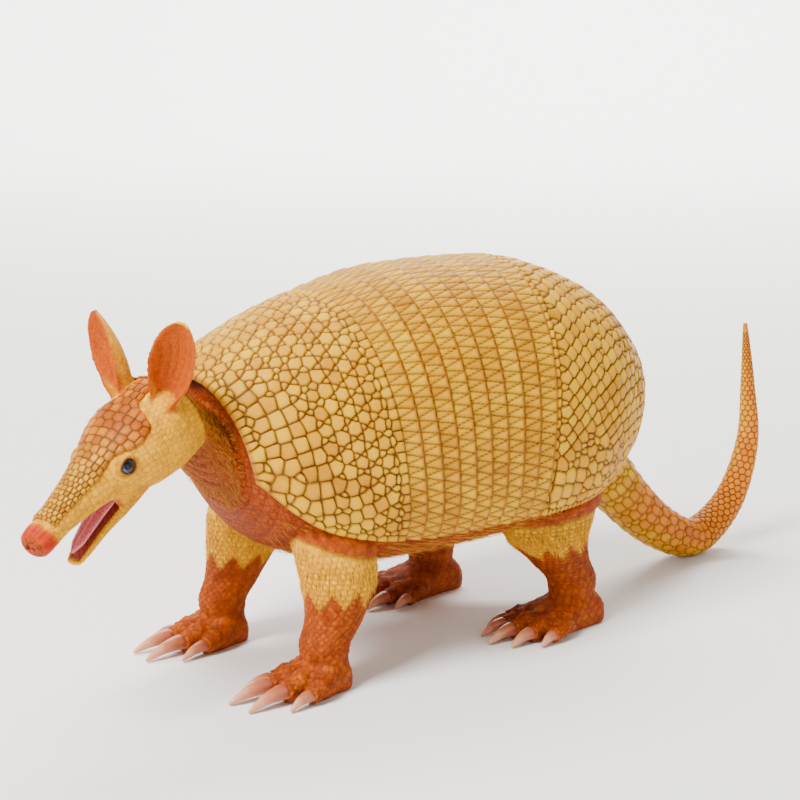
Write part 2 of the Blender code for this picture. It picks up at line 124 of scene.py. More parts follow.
def new_material(name, **sockets):
    """A material with its nodes and its shader, ready for its colour and relief."""
    made = bpy.data.materials.new(name)
    made.use_nodes = True
    shader = made.node_tree.nodes["Principled BSDF"]
    plug(shader, {socket.replace("_", " "): value for socket, value in sockets.items()})
    return made, made.node_tree, shader


def to_mesh(shape, name):
    """A finished shape as a mesh."""
    mesh = bpy.data.meshes.new(name)
    shape.to_mesh(mesh)
    shape.free()
    return mesh


shape = bmesh.new()
bmesh.ops.create_grid(shape, x_segments=96, y_segments=96, size=14)
for corner in shape.verts:
    corner.co.z = 0.12 * max(0.0, corner.co.xy.length - 4) ** 2
floor = add_object("floor", to_mesh(shape, "floor"))
floor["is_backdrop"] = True
# Matt studio vinyl: even, pale and without a reflection
studio_vinyl, _, _ = new_material("studio_vinyl", Roughness=0.9, Specular_IOR_Level=0.1, Base_Color="#F4F2EE")
floor.data.materials.append(studio_vinyl)

world = bpy.data.worlds.new("studio")
bpy.context.scene.world = world
world.use_nodes = True
plug(world.node_tree.nodes["Background"], {"Color": "#F2F2F0", "Strength": 0.50})
far_floor = Vector((-5.6, 5.0, 0))
for name, spot, target, size, power in (
    ("key", (0.25, -1.35, 1.55), middle, 0.8, 95),
    ("fill", (1.9, 0.3, 0.9), middle, 1.4, 6),
    ("back", (-1.1, 1.3, 1.5), middle, 1.0, 8),
    ("backdrop", (-2.6, 2.6, 4.5), far_floor, 4.0, 1500),
):
    lamp = add_object(name, bpy.data.lights.new(name, "AREA"))
    lamp.data.size = size
    lamp.data.energy = power
    lamp.location = spot
    look_at(lamp, target)


# Shoulder shield
#
# The front of the armour: bony plates fused into one shield and covered with horn. Large rounded scutes
# sit in rows, each ringed by small ones, with a row of squarer scutes along every free edge.
mm = 0.001
middle_y = 0.0468
body_sections = (
    (0.00, -0.108, 0.123, -16, 0.0455, 0.0455, 0.0440),
    (0.10, -0.082, 0.114, -12, 0.0615, 0.0690, 0.0530),
    (0.28, -0.036, 0.105, -6, 0.0745, 0.0955, 0.0550),
    (0.46, 0.012, 0.101, 0, 0.0795, 0.1110, 0.0520),
    (0.64, 0.060, 0.100, 9, 0.0810, 0.1130, 0.0500),
    (0.78, 0.098, 0.098, 20, 0.0770, 0.1030, 0.0480),
    (0.89, 0.130, 0.094, 32, 0.0630, 0.0800, 0.0430),
    (0.96, 0.153, 0.088, 42, 0.0430, 0.0510, 0.0340),
    (1.00, 0.168, 0.081, 48, 0.0245, 0.0265, 0.0230),
)
body_roundness = 2.25
shell_edge = (
    (0.00, 100),
    (0.06, 112),
    (0.16, 119),
    (0.45, 117),
    (0.70, 116),
    (0.86, 114),
    (1.00, 112),
)
shell_thick = 2.6 * mm
shoulder_end, rump_start = 0.290, 0.640
shell_long = 0.29
scute_spacing = 9.2 * mm
edge_long, edge_deep = 5.4 * mm, 4.6 * mm  # scutes along a shield's edge
draw = np.random.default_rng(9)


def read_columns(table, at):
    """A table's columns at these shares, on the same smooth curves that the solids follow."""
    rows = np.array(table, float)
    at = np.clip(at, rows[0, 0], rows[-1, 0])
    step = np.diff(rows[:, 0])
    rise = np.diff(rows[:, 1:], axis=0) / step[:, None]
    product, total = rise[:-1] * rise[1:], rise[:-1] + rise[1:]
    inner = np.where(product > 0, 2 * product / np.where(total == 0, 1, total), 0)
    slopes = np.vstack([rise[:1], inner, rise[-1:]])
    low = np.clip(np.searchsorted(rows[:, 0], at, "right") - 1, 0, len(rows) - 2)
    t = ((at - rows[low, 0]) / step[low])[:, None]
    width = step[low][:, None]
    return (
        rows[low, 1:] * (2 * t**3 - 3 * t**2 + 1)
        + rows[low + 1, 1:] * (3 * t**2 - 2 * t**3)
        + width * (slopes[low] * (t**3 - 2 * t**2 + t) + slopes[low + 1] * (t**3 - t**2))
    ).T


def rounded(value, power):
    return np.sign(value) * np.abs(value) ** power


def on_section(centre, side, up, sizes, angle, roundness):
    """Points of rounded sections at these angles from their tops. sizes: half width, height, depth."""
    across = rounded(np.sin(angle), 2 / roundness) * sizes[0]
    lift = rounded(np.cos(angle), 2 / roundness)
    lift = lift * np.where(lift > 0, sizes[1], sizes[2])
    return centre + across[:, None] * side + lift[:, None] * up


def body_surface(at, angle, out):
    """Points of the shell's outer face. at runs from the neck to the tail, angle from the top of the back."""
    y, z, lean, *sizes = read_columns(body_sections, at)
    lean = np.radians(lean)
    centre = np.stack([y * 0, y - middle_y, z], axis=1)
    up = np.stack([y * 0, np.sin(lean), np.cos(lean)], axis=1)
    return on_section(centre, np.array((1, 0, 0)), up, np.array(sizes) + out, angle, body_roundness)


def shell_place(start, end):
    """Puts a plate's grid on the shell between two shares of the body."""

    def place(along, across, out):
        at = start + (end - start) * along
        edge = np.radians(read_columns(shell_edge, at)[0])
        return body_surface(at, edge * (2 * across - 1), out)

    return place


def lengths(ways):
    return np.linalg.norm(ways, axis=-1)


def unit(ways):
    return ways / lengths(ways)[..., None]


def from_edges(place, along, across):
    """Distances in metres from the plate's front, rear and nearer lower edge."""
    tiny = 1e-4
    here = place(along, across, 0)
    per_row = lengths(place(along + tiny, across, 0) - here) / tiny
    per_column = lengths(place(along, across + tiny, 0) - here) / tiny
    return along * per_row, (1 - along) * per_row, np.minimum(across, 1 - across) * per_column


def arc_length(points):
    return lengths(np.diff(points, axis=0)).sum()


def row_length(place, along, low=0.0, turn=1.0):
    """How long a row across a surface is, from one share or angle on."""
    return arc_length(place(np.full(60, along), np.linspace(low, low + turn, 60), 0))


def travelled(points):
    """How far along a line each of its points lies."""
    return np.concatenate([[0], np.cumsum(lengths(np.diff(points, axis=0)))])


def spread_evenly(place, across):
    """Shares across a plate that give equal steps along its curve."""
    line = np.linspace(0, 1, 400)
    reached = travelled(place(np.full(400, 0.5), line, 0))
    return np.interp(across * reached[-1], reached, line)


def grow_tree(points):
    """A search tree that finds the points nearest to a place."""
    tree = kdtree.KDTree(len(points))
    for i, point in enumerate(points):
        tree.insert(point, i)
    tree.balance()
    return tree


def shield_scutes(place, hidden):
    """Middles and sizes of a shield's scutes: big ones in staggered rows, small ones between, an edge row."""
    length = arc_length(place(np.linspace(0, 1, 60), np.full(60, 0.5), 0))
    rows = round(length / (scute_spacing * 0.866))
    spots, sizes = [], []
    for row in range(rows):
        for shift, size, slide in ((0, 1.0, 0), (1 / 3, -0.9, 0.5), (2 / 3, -0.9, 0)):
            along = (row + 0.5 + shift) / rows
            if along > 1:
                continue
            # Whole groups of five keep neighbouring rows in step
            count = 5 * round(row_length(place, along) / scute_spacing / 5)
            stagger = 0.5 * ((row + (shift > 0.5)) % 2) + slide + 0.5 * (shift > 0.5)
            for i in range(count):
                spots.append((along, (i + 0.25 + stagger) / count % 1))
                sizes.append(size * mm)
    spots, sizes = np.array(spots), np.array(sizes)
    spots[:, 1] = spread_evenly(place, spots[:, 1])
    front, rear, side = from_edges(place, spots[:, 0], spots[:, 1])
    kept = (np.minimum(front - hidden, rear) > edge_deep * 1.15) & (side > edge_deep * 1.3)
    spots, sizes = spots[kept], sizes[kept]
    flat = place(spots[:, 0], spots[:, 1], 0)
    around = grow_tree(flat)
    taken = np.zeros(len(flat), bool)
    for i in np.argsort(-sizes, kind="stable"):
        room = scute_spacing * (0.47 if sizes[i] < 0 else 0.66)
        taken[i] = not any(taken[j] for _, j, _ in around.find_range(flat[i], room))
    spots, sizes = spots[taken], sizes[taken]
    sizes = sizes + draw.normal(0, 0.18, len(sizes)) * mm
    spots = place(spots[:, 0], spots[:, 1], 0) + draw.normal(0, 0.28, (len(spots), 3)) * mm
    found, weights = [spots], [sizes]
    for along in ((hidden + 0.5 * edge_deep) / length, 1 - 0.5 * edge_deep / length):
        count = round(row_length(place, along) / edge_long)
        spread = spread_evenly(place, (np.arange(count) + 0.5) / count)
        found.append(place(np.full(count, along), spread, 0))
        weights.append(np.zeros(count))
    count = round(length / (edge_long * 1.25))
    steps = (np.arange(count) + 0.5) / count
    inset = 0.62 * edge_deep / np.array([row_length(place, step) for step in steps])
    for across in (inset, 1 - inset):
        found.append(place(steps, across, 0))
        weights.append(np.full(count, 0.3 * mm))
    found, weights = np.vstack(found), np.concatenate(weights)
    around = grow_tree(found)
    room = edge_deep * 0.7
    alone = [all(j >= i for _, j, _ in around.find_range(spot, room)) for i, spot in enumerate(found)]
    return found[alone], weights[alone]


def nearest_scutes(points, centres, sizes=None):
    """For each point, its scute, how far its middle is, and how far the seam with the next one is."""
    tree = grow_tree(centres)
    sizes = np.zeros(len(centres)) if sizes is None else sizes
    found = []
    for point in points:
        near = sorted((distance - sizes[index], index) for _, index, distance in tree.find_n(point, 6))
        found.append((near[0][1], near[0][0], (near[1][0] - near[0][0]) / 2))
    scute, reach, seam = np.array(found).T
    return scute.astype(int), reach, seam


def smooth_step(value, low, high):
    t = np.clip((value - low) / (high - low), 0, 1)
    return t * t * (3 - 2 * t)


def mesh_points(mesh, field="co"):
    """The places or the normals of a mesh's points."""
    values = np.empty(len(mesh.vertices) * 3)
    mesh.vertices.foreach_get(field, values)
    return values.reshape(-1, 3)


def keep_values(mesh, **values):
    """Stores values that the material reads, one for each vertex."""
    for name, numbers in values.items():
        layer = mesh.attributes.new(name, "FLOAT", "POINT")
        layer.data.foreach_set("value", np.asarray(numbers, np.float32))


def add_piece(name, mesh, material, replaced):
    """Adds a finished mesh as a piece that stands for CAD nodes."""
    mesh.shade_smooth()
    mesh.materials.append(material)
    piece = add_object(name, mesh)
    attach(piece, "root")
    if replaced:
        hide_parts(*replaced)


def plate_mesh(name, rows, columns):
    """A closed plate laid flat: a fine outer face at height 0, its rim at -1 and a plain underside at -2."""
    shape = bmesh.new()
    bmesh.ops.create_grid(shape, x_segments=columns, y_segments=rows, size=0.5)
    rim = [edge for edge in shape.edges if edge.is_boundary]
    turned = bmesh.ops.extrude_edge_only(shape, edges=rim)["geom"]
    lower = [corner for corner in turned if isinstance(corner, bmesh.types.BMVert)]
    bmesh.ops.translate(shape, verts=lower, vec=(0, 0, -1))
    under = bmesh.ops.create_grid(
        shape, x_segments=columns // 8, y_segments=max(2, rows // 8), size=0.5 - 0.8 / columns
    )
    bmesh.ops.translate(shape, verts=under["verts"], vec=(0, 0, -2))
    bmesh.ops.bridge_loops(shape, edges=[edge for edge in shape.edges if edge.is_boundary])
    bmesh.ops.recalc_face_normals(shape, faces=shape.faces)
    mesh = to_mesh(shape, name)
    points = mesh_points(mesh)
    return mesh, points[:, 1] + 0.5, points[:, 0] + 0.5, -points[:, 2]


rim_round = 1.1 * mm  # radius that horn edges are worn to
band_dip = 1.4 * mm  # a plate's front lies this far under the one before it


def edge_drop(distance):
    """How far a rounded edge falls below the face at this distance from it."""
    short = rim_round - np.minimum(distance, rim_round)
    return rim_round - np.sqrt(rim_round**2 - short**2 * 0.98)


def shield_plate(name, place, rows, columns, thin_rear=False, hidden=0):
    """One shield with its scutes in relief. hidden is the strip at its front that another plate covers."""
    mesh, along, across, level = plate_mesh(name, rows, columns)
    across = spread_evenly(place, across)
    centres, sizes = shield_scutes(place, hidden)
    flat = place(along, across, 0)
    scute, reach, seam = nearest_scutes(flat, centres, sizes)
    backwards = unit(place(along + 1e-3, across, 0) - place(along - 1e-3, across, 0))
    trail = ((flat - centres[scute]) * backwards).sum(axis=1) / (0.5 * scute_spacing)
    front, rear, side = from_edges(place, along, across)
    edges = np.minimum(np.minimum(front, rear), side)
    rise = smooth_step(seam, 0.05 * mm, 0.75 * mm)
    crown = 1 - np.clip(reach / (0.55 * scute_spacing), -1, 1) ** 2
    height = (rise - 1) * 0.85 * mm + crown * rise * 0.45 * mm
    height += (draw.normal(0, 0.10, len(centres))[scute] + 0.28 * np.clip(trail, -1, 1)) * mm * rise
    height -= edge_drop(edges)
    thick = np.where(level == 1, 2.2 * mm, shell_thick)
    if thin_rear:
        thick = np.where(rear < 5 * mm, 1.0 * mm, thick)
    out = np.where(level == 0, height, -thick)
    if hidden:
        out -= band_dip * (1 - smooth_step(front - hidden, 0, 4 * mm))
    mesh.vertices.foreach_set("co", place(along, across, out).ravel())
    # edge: painted shade along the plate's edges and over the rear of each scute
    keep_values(
        mesh,
        tone=0.62 + 0.5 * (draw.random(len(centres))[scute] - 0.5),
        seam=1 - rise,
        crown=crown * rise,
        edge=np.maximum(1 - smooth_step(edges, 0, 2.2 * mm), 0.75 * smooth_step(trail, 0.25, 0.95)),
    )
    return mesh


# Keratin horn over bone, polished by soil: satin gold scutes. Their seams are dark with soil and with painted
# shade in the grooves, each scute's crown is paler with a painted highlight, and painted shade browns the
# plates' edges and the rear of each scute. Its stains are 26 mm across. Its grain is drawn 1.1 mm across,
# coarser than in life, so that it shows
scute_horn, tree, shader = new_material(
    "scute_horn", Roughness=0.42, Specular_IOR_Level=0.1, Coat_Weight=0.04, Coat_Roughness=0.35
)
place_here = add_node(tree, "TexCoord", give="Object")
tone, seam, crown, edge, warm = (
    add_node(tree, "Attribute", give="Fac", attribute_name=name)
    for name in ("tone", "seam", "crown", "edge", "warm")
)
stains = add_node(tree, "TexNoise", {"Vector": place_here, "Scale": 38, "Detail": 4, "Roughness": 0.6})
grain = add_node(tree, "TexNoise", {"Vector": place_here, "Scale": 900, "Detail": 5, "Roughness": 0.65})
stains = add_node(tree, "Math", {0: stains, 1: 0.9, 2: -0.2}, operation="MULTIPLY_ADD")
varied = add_node(tree, "Mix", {0: 0.45, 2: stains, 3: tone})
gold_stops = [(0.15, "#A26400"), (0.40, "#CE9200"), (0.62, "#DFAC00"), (0.95, "#ECBC00")]
orange_stops = [(0.15, "#9A4400"), (0.45, "#D07000"), (0.85, "#F68E00")]
colour = add_node(tree, "ValToRGB", {"Fac": varied}, gold_stops)
orange = add_node(tree, "ValToRGB", {"Fac": varied}, orange_stops)
# Each scute is painted paler at its crown, a painted highlight, and browner at its edges, a painted shade
crown_highlight = add_node(tree, "MapRange", {"Value": crown, "To Min": 0.74, "To Max": 1.0})
shaded_edge = add_node(tree, "Math", {0: edge, 1: 0.6}, operation="MULTIPLY", use_clamp=True)
for blend, amount, over in (
    ("MIX", warm, orange),
    ("MULTIPLY", 1.0, crown_highlight),
    ("OVERLAY", 0.35, grain),
    ("MIX", seam, "#4E280A"),
    ("MIX", shaded_edge, "#8A4A08"),
):
    mixed = {0: amount, 6: colour, 7: over}
    colour = add_node(tree, "Mix", mixed, give=2, data_type="RGBA", blend_type=blend)
relief = add_node(tree, "Bump", {"Height": grain, "Strength": 0.5, "Distance": 0.25 * mm})
plug(shader, {"Base Color": colour, "Normal": relief})

over_next = 1.3 * mm / shell_long  # a plate lies this far over the next, as a share of the shell
under_last = 3.6 * mm / shell_long  # and is let in this far under the one before
place = shell_place(0.0, shoulder_end + over_next)
shoulder = shield_plate("shoulder_armour", place, 140, 440, thin_rear=True)
add_piece("shoulder_armour", shoulder, scute_horn, ["shoulder_shield"])


# Bands
#
# Nine hoops of bone and horn over the loin, joined by soft skin so that the back can bend. Each is let in
# under the one before and lies over the next. Long three-cornered scutes alternate along it.
band_width = (rump_start - shoulder_end) / 9
scute_pair = 6.2 * mm
for band in range(9):
    start = shoulder_end + band_width * band
    place = shell_place(start - under_last, start + band_width + over_next)
    mesh, along, across, level = plate_mesh(f"band_armour_{band + 1}", 24, 520)
    across = spread_evenly(place, across)
    line = np.linspace(0, 1, 200)
    travel = np.interp(across, line, travelled(place(np.full(200, 0.5), line, 0))) / scute_pair + 0.5 * band
    travel += 0.04 * np.sin(travel * 1.7 + band)
    share = (along * (band_width + over_next + under_last) - under_last) / band_width
    wave = 1 - np.abs(2 * (travel % 1) - 1)
    apart = wave - (1.02 - share)
    metres_apart = np.abs(apart) / math.hypot(2 / scute_pair, 1 / (band_width * shell_long))
    rise = smooth_step(metres_apart, 0.02 * mm, 0.55 * mm)
    number = np.where(apart > 0, np.floor(travel), np.round(travel) + 200).astype(int)
    crown = np.clip(metres_apart / (1.8 * mm), 0, 1)
    front, rear, side = from_edges(place, along, across)
    slope = -1.75 * mm * (1 - np.clip(share + 0.05, 0, 1) ** 0.8)
    slope = slope - 0.7 * mm * np.clip(-share * 3, 0, 1)
    height = slope + ((rise - 1) * 0.5 + crown * 0.28) * mm
    height += draw.normal(0, 0.07, 400)[number] * mm * rise
    height -= edge_drop(np.minimum(np.minimum(front, rear), side)) * 0.75
    hoop_thick = np.where(level == 1, 0.7, 0.9) * mm
    out = np.where(level == 0, height, slope - hoop_thick)
    scallop = 0.022 * np.cos(2 * math.pi * (travel % 1)) * (along - 0.9) * 10
    reach_back = along + np.where(along > 0.9, scallop, 0)
    mesh.vertices.foreach_set("co", place(reach_back, across, out).ravel())
    # The front strip under the band before gets a painted shadow in seam, and the rear edge painted shade in
    # edge
    keep_values(
        mesh,
        tone=0.62 + 0.10 * math.sin(band * 2.4) + 0.34 * (draw.random(400)[number] - 0.5),
        seam=np.maximum(0.85 * (1 - rise), smooth_step(0.24 - share, 0, 0.12)),
        crown=crown * rise,
        edge=np.maximum(
            1 - smooth_step(side, 0, 2.2 * mm),
            1.5 * (1 - smooth_step(rear, 0.2 * mm, 3.2 * mm)),
        ),
    )
    add_piece(mesh.name, mesh, scute_horn, [f"band_{band + 1}"])


# Rump shield
#
# The rear of the armour, of the same bone and horn as the shoulder shield and as stiff. It is let in
# under the last band, and its edge frames the tail's root.
place = shell_place(rump_start - under_last, 1.0)
rump = shield_plate("rump_armour", place, 222, 430, hidden=(under_last + over_next) * shell_long)
add_piece("rump_armour", rump, scute_horn, ["rump_shield"])


# Tail armour
#
# Rings of horn-covered bone that fit into each other like cups, two rows of scutes to a ring, then small
# scutes without rings towards the tip. It rests on the floor at its lowest bend.
tail_route = np.array(
    (
        (0.000, 0.1690, 0.0800),
        (0.000, 0.1950, 0.0520),
        (-0.002, 0.2290, 0.0255),
        (-0.005, 0.2660, 0.0118),
        (-0.006, 0.2990, 0.0305),
        (-0.004, 0.3130, 0.0680),
        (-0.001, 0.3080, 0.1080),
        (0.003, 0.2990, 0.1500),
    )
) - (0, middle_y, 0)
tail_root, tail_tip, tail_taper = 0.0188, 0.0013, 0.86
tail_long = 0.28


def tail_radius(share):
    return tail_tip + (tail_root - tail_tip) * (1 - share) ** tail_taper


def tail_surface(share, angle, out):
    """Points round the tail at shares of its route from root to tip."""
    last = len(tail_route) - 1
    spots = np.vstack([2 * tail_route[0] - tail_route[1], tail_route, 2 * tail_route[-1] - tail_route[-2]])
    where = np.clip(share, 0, 1) * last
    i = np.minimum(where.astype(int), last - 1)
    t = (where - i)[:, None]
    a, b = spots[i + 1], spots[i + 2]
    m0, m1 = (b - spots[i]) / 2, (spots[i + 3] - a) / 2
    centre = (
        a * (2 * t**3 - 3 * t**2 + 1)
        + m0 * (t**3 - 2 * t**2 + t)
        + b * (3 * t**2 - 2 * t**3)
        + m1 * (t**3 - t**2)
    )
    way = unit(
        a * (6 * t**2 - 6 * t)
        + m0 * (3 * t**2 - 4 * t + 1)
        + b * (6 * t - 6 * t**2)
        + m1 * (3 * t**2 - 2 * t)
    )
    side = unit(np.array((1, 0, 0)) - way * way[:, :1])
    up = np.cross(side, way)
    radius = tail_radius(share) + out
    return centre + radius[:, None] * (np.sin(angle)[:, None] * side + np.cos(angle)[:, None] * up)


def roll_tube(shape, rows, columns, place, ring=False):
    """Adds a grid rolled up by place(along, around): a tube with its ends drawn together, or a ring."""
    corners = bmesh.ops.create_grid(shape, x_segments=columns, y_segments=rows, size=0.5)["verts"]
    flat = np.array([corner.co[:] for corner in corners]) + 0.5
    points = place(flat[:, 1], flat[:, 0] * 2 * math.pi)
    for end in () if ring else (0, 1):
        row = np.abs(flat[:, 1] - end) < 1e-5
        points[row] = points[row][:-1].mean(axis=0)
    for corner, point in zip(corners, points):
        corner.co = point
    bmesh.ops.remove_doubles(shape, verts=corners, dist=1e-6)


def row_angles(count, row, turn=2 * math.pi):
    """Angles for a row of scales. Every second row is shifted by half a scale."""
    return (np.arange(count) + 0.5 * (row % 2)) * turn / count


ring_starts = [0.0]
for ring in range(12):
    ring_starts.append(ring_starts[-1] + 13.2 * mm * 0.955**ring / tail_long)
ring_starts = np.array(ring_starts)
centres, sizes = [], []
for start, length in zip(ring_starts, np.diff(ring_starts)):
    count = max(8, round(2 * math.pi * tail_root * (1 - start) ** tail_taper / (6.4 * mm)))
    for row, depth, size in ((0, 0.16, -0.9), (1, 0.62, 0.9)):
        spots = tail_surface(np.full(count, start + length * depth), row_angles(count, row), 0)
        centres.append(spots + draw.normal(0, 0.12, (count, 3)) * mm)
        sizes.append(np.full(count, size * mm))
share, row = ring_starts[-1] + 0.008, 0
while share < 0.985:
    step = np.clip(tail_radius(share) * 0.62, 1.5 * mm, 4.2 * mm)
    count = max(5, round(2 * math.pi * tail_radius(share) / (step * 1.1)))
    centres.append(tail_surface(np.full(count, share), row_angles(count, row), 0))
    sizes.append(np.zeros(count))
    share, row = share + step / tail_long, row + 1
centres, sizes = np.vstack(centres), np.concatenate(sizes)


def tail_skin(along, around):
    return tail_surface(along, around, 0)


shape = bmesh.new()
roll_tube(shape, 600, 150, tail_skin)
tail = to_mesh(shape, "tail_armour")
points = mesh_points(tail)
line = np.linspace(0, 1, 3000)
spine = tail_skin(line, np.zeros(3000)) * 0.5 + tail_skin(line, np.full(3000, math.pi)) * 0.5
spine_tree = grow_tree(spine)
on_spine = [spine_tree.find(point)[1] for point in points]
share = line[on_spine]
scute, reach, seam = nearest_scutes(points, centres, sizes)
ring_index = np.clip(np.searchsorted(ring_starts, share, "right") - 1, 0, 12)
ring_length = np.append(np.diff(ring_starts), 1 - ring_starts[-1])[ring_index]
within = (share - ring_starts[ring_index]) / ring_length
has_ring = ring_index < 12
rise = smooth_step(seam, 0.02 * mm, 0.6 * mm)
thickness = tail_radius(share)
fade = np.clip(thickness / tail_root, 0.3, 1)
cup = np.where(has_ring, -2.3 * mm * fade * (1 - np.clip(within, 0, 1) ** 0.55), 0)
cup -= np.where(has_ring & (within > 0.95), (within - 0.95) / 0.05 * 0.8 * mm, 0)
relief_scale = np.clip(thickness / 0.010, 0.25, 1)
crown = 1 - np.clip(reach / (3.6 * mm), -1, 1) ** 2
joint = has_ring * np.maximum(smooth_step(0.10 - within, 0, 0.07), smooth_step(within - 0.955, 0, 0.03))
height = cup + relief_scale * ((rise - 1) * 0.5 + crown * rise * 0.3 - joint * 0.5) * mm
height *= 1 - smooth_step(share, 0.97, 1.0)
outwards = points - spine[on_spine]
outwards /= np.maximum(lengths(outwards), 1e-9)[:, None]
points = points + outwards * height[:, None]
points[:, 2] = np.maximum(points[:, 2], 0)
tail.vertices.foreach_set("co", points.ravel())
upper = np.clip(0.5 + 0.8 * outwards[:, 2] + 0.5 * outwards[:, 0], 0, 1)
# The joints between rings are painted dark in seam, and the rear of each ring in edge: both painted shade
keep_values(
    tail,
    tone=0.6 + 0.4 * draw.random(len(centres))[scute],
    seam=np.maximum(np.where(has_ring, 0.8, 0.9) * (1 - rise), joint) * (share < 0.98),
    crown=crown * rise,
    edge=np.where(has_ring, 1.3 * smooth_step(within, 0.74, 0.97), 0),
    warm=np.clip(upper + 0.35 * (draw.random(len(centres))[scute] - 0.5), 0, 1)
    * smooth_step(share, 0.02, 0.2),
)
add_piece("tail_armour", tail, scute_horn, [f"tail_{i}" for i in range(1, 7)])


# Skin
#
# One leathery hide from the nose to the root of the tail and down to the soles. It folds at the neck,
# stiffens into small scales on the legs and feet, and stays soft and wrinkled on the belly.
head_sections = (
    (0.000, 0.0050, 0.0044, 0.0044),
    (0.025, 0.0084, 0.0078, 0.0068),
    (0.070, 0.0092, 0.0086, 0.0068),
    (0.150, 0.0088, 0.0084, 0.0062),
    (0.300, 0.0106, 0.0108, 0.0072),
    (0.430, 0.0135, 0.0140, 0.0096),
    (0.560, 0.0188, 0.0180, 0.0148),
    (0.700, 0.0240, 0.0212, 0.0208),
    (0.850, 0.0248, 0.0224, 0.0238),
    (1.000, 0.0228, 0.0216, 0.0245),
)
head_long, head_roundness = 0.107, 2.2
head_pitch, head_yaw = math.radians(29), math.radians(14)
nape = Vector((0.006, -0.1335 - middle_y, 0.1500))
jaw_sections = (
    (0.00, 0.0150, 0.0035, 0.0100),
    (0.30, 0.0122, 0.0030, 0.0080),
    (0.60, 0.0082, 0.0024, 0.0055),
    (0.85, 0.0063, 0.0020, 0.0040),
    (0.96, 0.0050, 0.0016, 0.0030),
    (1.00, 0.0028, 0.0008, 0.0014),
)
jaw_long, jaw_open = 0.0535, math.radians(15)
ear_sections = (
    (0.00, 0.0062, 150),
    (0.14, 0.0078, 126),
    (0.34, 0.0112, 96),
    (0.58, 0.0130, 80),
    (0.78, 0.0122, 66),
    (0.92, 0.0088, 58),
    (1.00, 0.0032, 54),
)
ear_long, ear_thick = 0.048, 1.8 * mm
eye_radius = 5.2 * mm
left_way = np.array((1.0, 0, 0))
forward_way = np.array((0, -1.0, 0))
up_way = np.array((0, 0, 1.0))


def head_axes(pitch):
    """Forward, left and up of the head, or of the jaw at its own pitch."""
    across, along = math.cos(head_yaw), math.sin(head_yaw)
    level = np.array((along, -across, 0))
    forward = level * math.cos(pitch) - up_way * math.sin(pitch)
    return forward, np.array((across, along, 0)), level * math.sin(pitch) + up_way * math.cos(pitch)


head_forward, head_left, head_up = head_axes(head_pitch)
jaw_forward, jaw_left, jaw_up = head_axes(head_pitch + jaw_open)
hinge = np.array(nape) + head_forward * head_long * 0.37 - head_up * 0.0100


def head_surface(at, angle, out):
    """Points of the head. at runs from the nose (0) to the nape (1)."""
    sizes = read_columns(head_sections, at) + out
    centre = np.array(nape) + np.outer((1 - at) * head_long, head_forward)
    return on_section(centre, head_left, head_up, sizes, angle, head_roundness)


def jaw_surface(at, angle, out):
    """Points of the lower jaw. at runs from the hinge (0) to the tip (1)."""
    sizes = read_columns(jaw_sections, at) + out
    centre = hinge + np.outer(at * jaw_long, jaw_forward)
    return on_section(centre, jaw_left, jaw_up, sizes, angle, 2.3)


def flesh_surface(at, angle, out):
    """Points of the trunk under its armour. The flesh swells to meet the armour's lower edge."""
    tuck = 0.010 * np.clip(1 - at / 0.062, 0, 1) ** 1.5
    edge = np.radians(read_columns(shell_edge, at)[0])
    around = np.abs((angle + math.pi) % (2 * math.pi) - math.pi)
    swell = 1.1 * mm * np.exp(-(((around - edge) / 0.16) ** 2)) * (at > 0.08)
    inset = shell_thick + band_dip + 0.4 * mm + tuck - swell
    return body_surface(at, angle, out - inset)


def trunk_skin(along, around):
    return flesh_surface(along * 0.985, around, -0.3 * mm)


def tail_root_skin(along, around):
    """Flesh that fills the rear of the shell and reaches into the tail's first ring."""
    heading = unit(tail_route[1] - tail_route[0])
    centre = tail_route[0] + np.outer((-30 + 38 * along) * mm, heading)
    radius = (15.6 + 4.6 * smooth_step(0.79 - along, 0, 0.2)) * mm
    return on_section(centre, left_way, np.cross(left_way, heading), np.stack([radius] * 3), around, 2)


def neck_skin(along, around):
    """From inside the trunk to inside the back of the head."""
    t = (-0.15 + 1.27 * along)[:, None]
    start = flesh_surface(along * 0, around, 0)
    end = head_surface(along * 0 + 1, around, 0)
    middle = (1 - t) * flesh_middle + t * np.array(nape)
    waist = 1 - 0.06 * np.sin(math.pi * np.clip(t, 0, 1)) - 0.012
    return middle + (start * (1 - t) + end * t - middle) * waist


def head_skin(along, around):
    return head_surface(along, around, -0.2 * mm)


def jaw_skin(along, around):
    return jaw_surface(along, around, -0.2 * mm)


def cheek_skin(side):
    """The web of skin that closes the corner of the mouth on one side."""

    def place(along, around):
        at = 0.36 * along
        gap = jaw_long * at * math.sin(jaw_open) + 5.5 * mm
        half_width = read_columns(jaw_sections, at)[0]
        centre = hinge + np.outer(at * jaw_long, jaw_forward)
        centre = centre + np.outer(half_width - 1.6 * mm, jaw_left * side)
        centre = centre + np.outer(gap * 0.45, jaw_up)
        sizes = np.stack([gap * 0 + 1.3 * mm, gap * 0.75, gap * 0.75])
        return on_section(centre, jaw_left, jaw_up, sizes, around, 2.4)

    return place


def ear_frame(side):
    root = head_surface(np.array([0.890]), np.array([side * math.radians(42)]), -0.0050)[0]
    rise = unit(head_up * 0.88 + head_left * side * 0.40 - head_forward * 0.30)
    opening = head_forward * 0.99 + head_left * side * 0.12
    opening = unit(opening - rise * opening.dot(rise))
    return root, rise, opening, np.cross(rise, opening)


